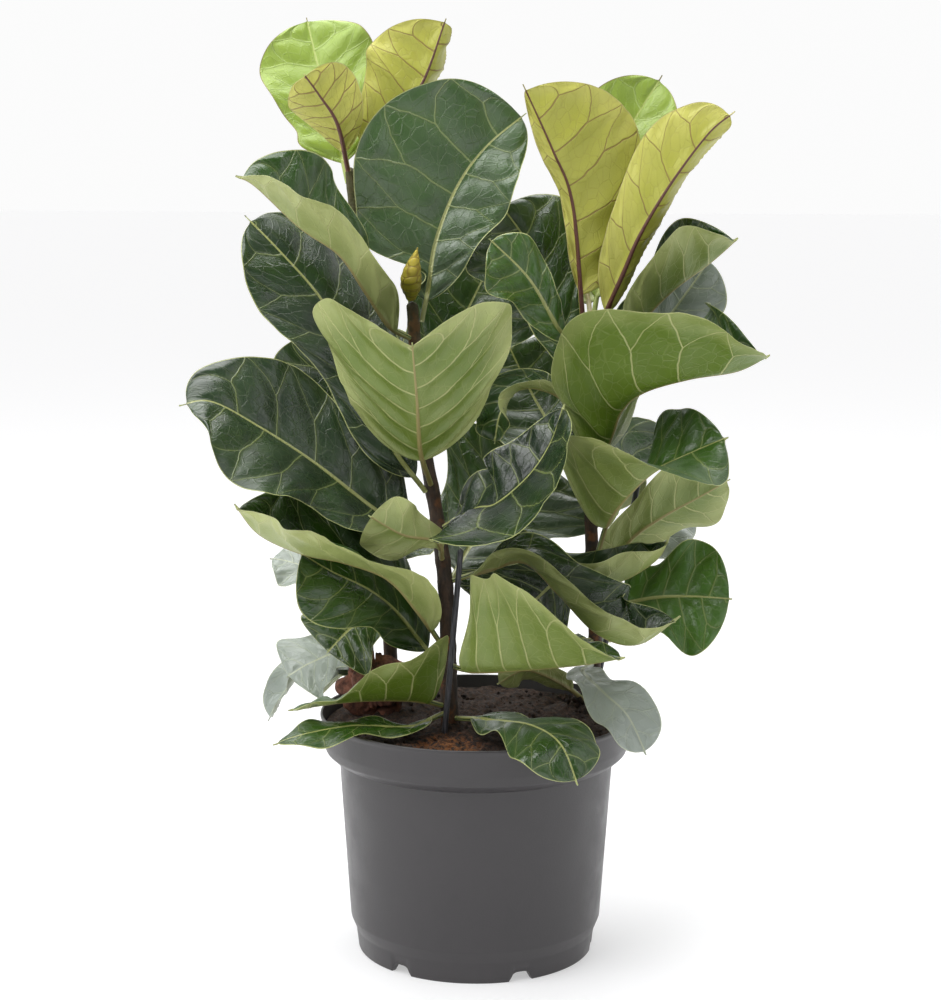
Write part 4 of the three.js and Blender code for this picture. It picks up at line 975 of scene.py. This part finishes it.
def peatMaterial():
    n = Nodes("peatCrumb")
    spot = n.place()
    x, y = n.split(spot)[:2]
    crumb = n.noise(spot, 260.0, 6.0, 0.7)
    grains = n.cells(spot, 170.0, "F1")
    east, north = n.math("SUBTRACT", x, peat["rustyAt"][0]), n.math("SUBTRACT", y, peat["rustyAt"][1])
    near = n.plus(n.math("POWER", east, 2.0), n.math("POWER", north, 2.0))
    rusty = n.times(n.step(near, *peat["rustyReach"], 1.0, 0.0), n.step(crumb, 0.42, 0.6))
    color = n.blend(n.step(crumb, 0.35, 0.7), peat["dark"], peat["light"])
    n.bump(n.plus(crumb, n.times(grains, 0.5)), 0.003)
    return n.finish(n.blend(rusty, color, peat["rusty"]), n.step(crumb, 0.3, 0.7, 0.8, 1.0))


def makePeat(material):
    # a disc with the frame's heights and finer lumps, then the side that fills the pot
    inset, edge = pot["wall"] + gap, pot["edge"]
    band = pot["height"] - pot["rimDepth"]
    rim = pot["rimRadius"] - pot["wall"] - pot["lipInset"] - gap
    bottom = pot["floorHeight"] + pot["wall"] + gap
    side = np.array([
        [rim, band + pot["lipHeight"] + edge], [pot["shoulderRadius"] - inset, band - edge],
        [pot["waistRadius"] - inset, pot["footHeight"] + pot["waistRise"] + edge],
        [pot["footRadius"] - pot["footRing"], bottom], [0, bottom],
    ])
    radii = np.linspace(0, rim, peat["rings"])
    places = turned(np.vstack([np.stack([radii, 0 * radii + peat["level"]], -1), side]), peat["spokes"])
    x, y = places[..., 0], places[..., 1]
    lumps = 1.1 * ripple(places, 3.4, 2) + 0.9 * np.abs(ripple(places, 1.7, 5))
    lumps = lumps + 1.6 * np.clip(ripple(places, 9.0, 9), 0, 1)
    isTop = np.arange(len(places))[:, None] < peat["rings"]
    fade = mix(0.25, 1, smooth(rim, rim - 6, np.hypot(x, y)))
    places[..., 2] += np.where(isTop, (peatHeight(x, y) + lumps) * fade, 0)
    verts, faces = closePoles(places)
    makePiece("soil_fine", verts, [face[::-1] for face in faces], material, ["soil"], "peat")


def makeCrumbs(material):
    # loose crumbs: small uneven octahedra, spread over the peat and heaped at the right
    draw = np.random.default_rng(peat["seed"])
    count = peat["crumbs"]
    reach = pot["rimRadius"] - peat["rimClear"]
    r = reach * np.sqrt(draw.random(count))
    turn = 2 * np.pi * draw.random(count)
    x, y = r * np.cos(turn), r * np.sin(turn)
    heapX, heapY, heapHeight, spread = peat["heap"]
    heaped = draw.random(count) < peat["heapShare"]
    x = np.where(heaped, heapX + spread * draw.normal(size=count), x)
    y = np.where(heaped, heapY + spread * draw.normal(size=count), y)
    keep = np.hypot(x, y) < reach
    x, y, heaped = x[keep], y[keep], heaped[keep]
    total = len(x)
    size = 0.9 + 1.7 * draw.random(total) ** 2 + 1.3 * heaped
    z = peat["level"] + peatHeight(x, y) + 0.6 * size + heaped * heapHeight * draw.random(total)
    corners = np.array([[1, 0, 0], [0, 1, 0], [-1, 0, 0], [0, -1, 0], [0, 0, 1], [0, 0, -1]], float)
    lumps = corners[None] * (0.6 + 0.7 * draw.random((total, 6, 1))) * size[:, None, None]
    spin = 2 * np.pi * draw.random(total)
    c, s = np.cos(spin)[:, None], np.sin(spin)[:, None]
    turnedX, turnedY = lumps[..., 0] * c - lumps[..., 1] * s, lumps[..., 0] * s + lumps[..., 1] * c
    lumps = np.stack([turnedX, turnedY, lumps[..., 2]], -1)
    places = (lumps + np.stack([x, y, z], -1)[:, None]).reshape(-1, 3)
    k = np.arange(4)
    after = (k + 1) % 4
    shape = np.vstack([np.stack([k, after, 4 + 0 * k], -1), np.stack([after, k, 5 + 0 * k], -1)])
    faces = (shape[None] + 6 * np.arange(total)[:, None, None]).reshape(-1, 3)
    makePiece("peat_crumbs", places, faces, material, [], "peat")


peatSkin = peatMaterial()
makePeat(peatSkin)
makeCrumbs(peatSkin)
print("peat made")
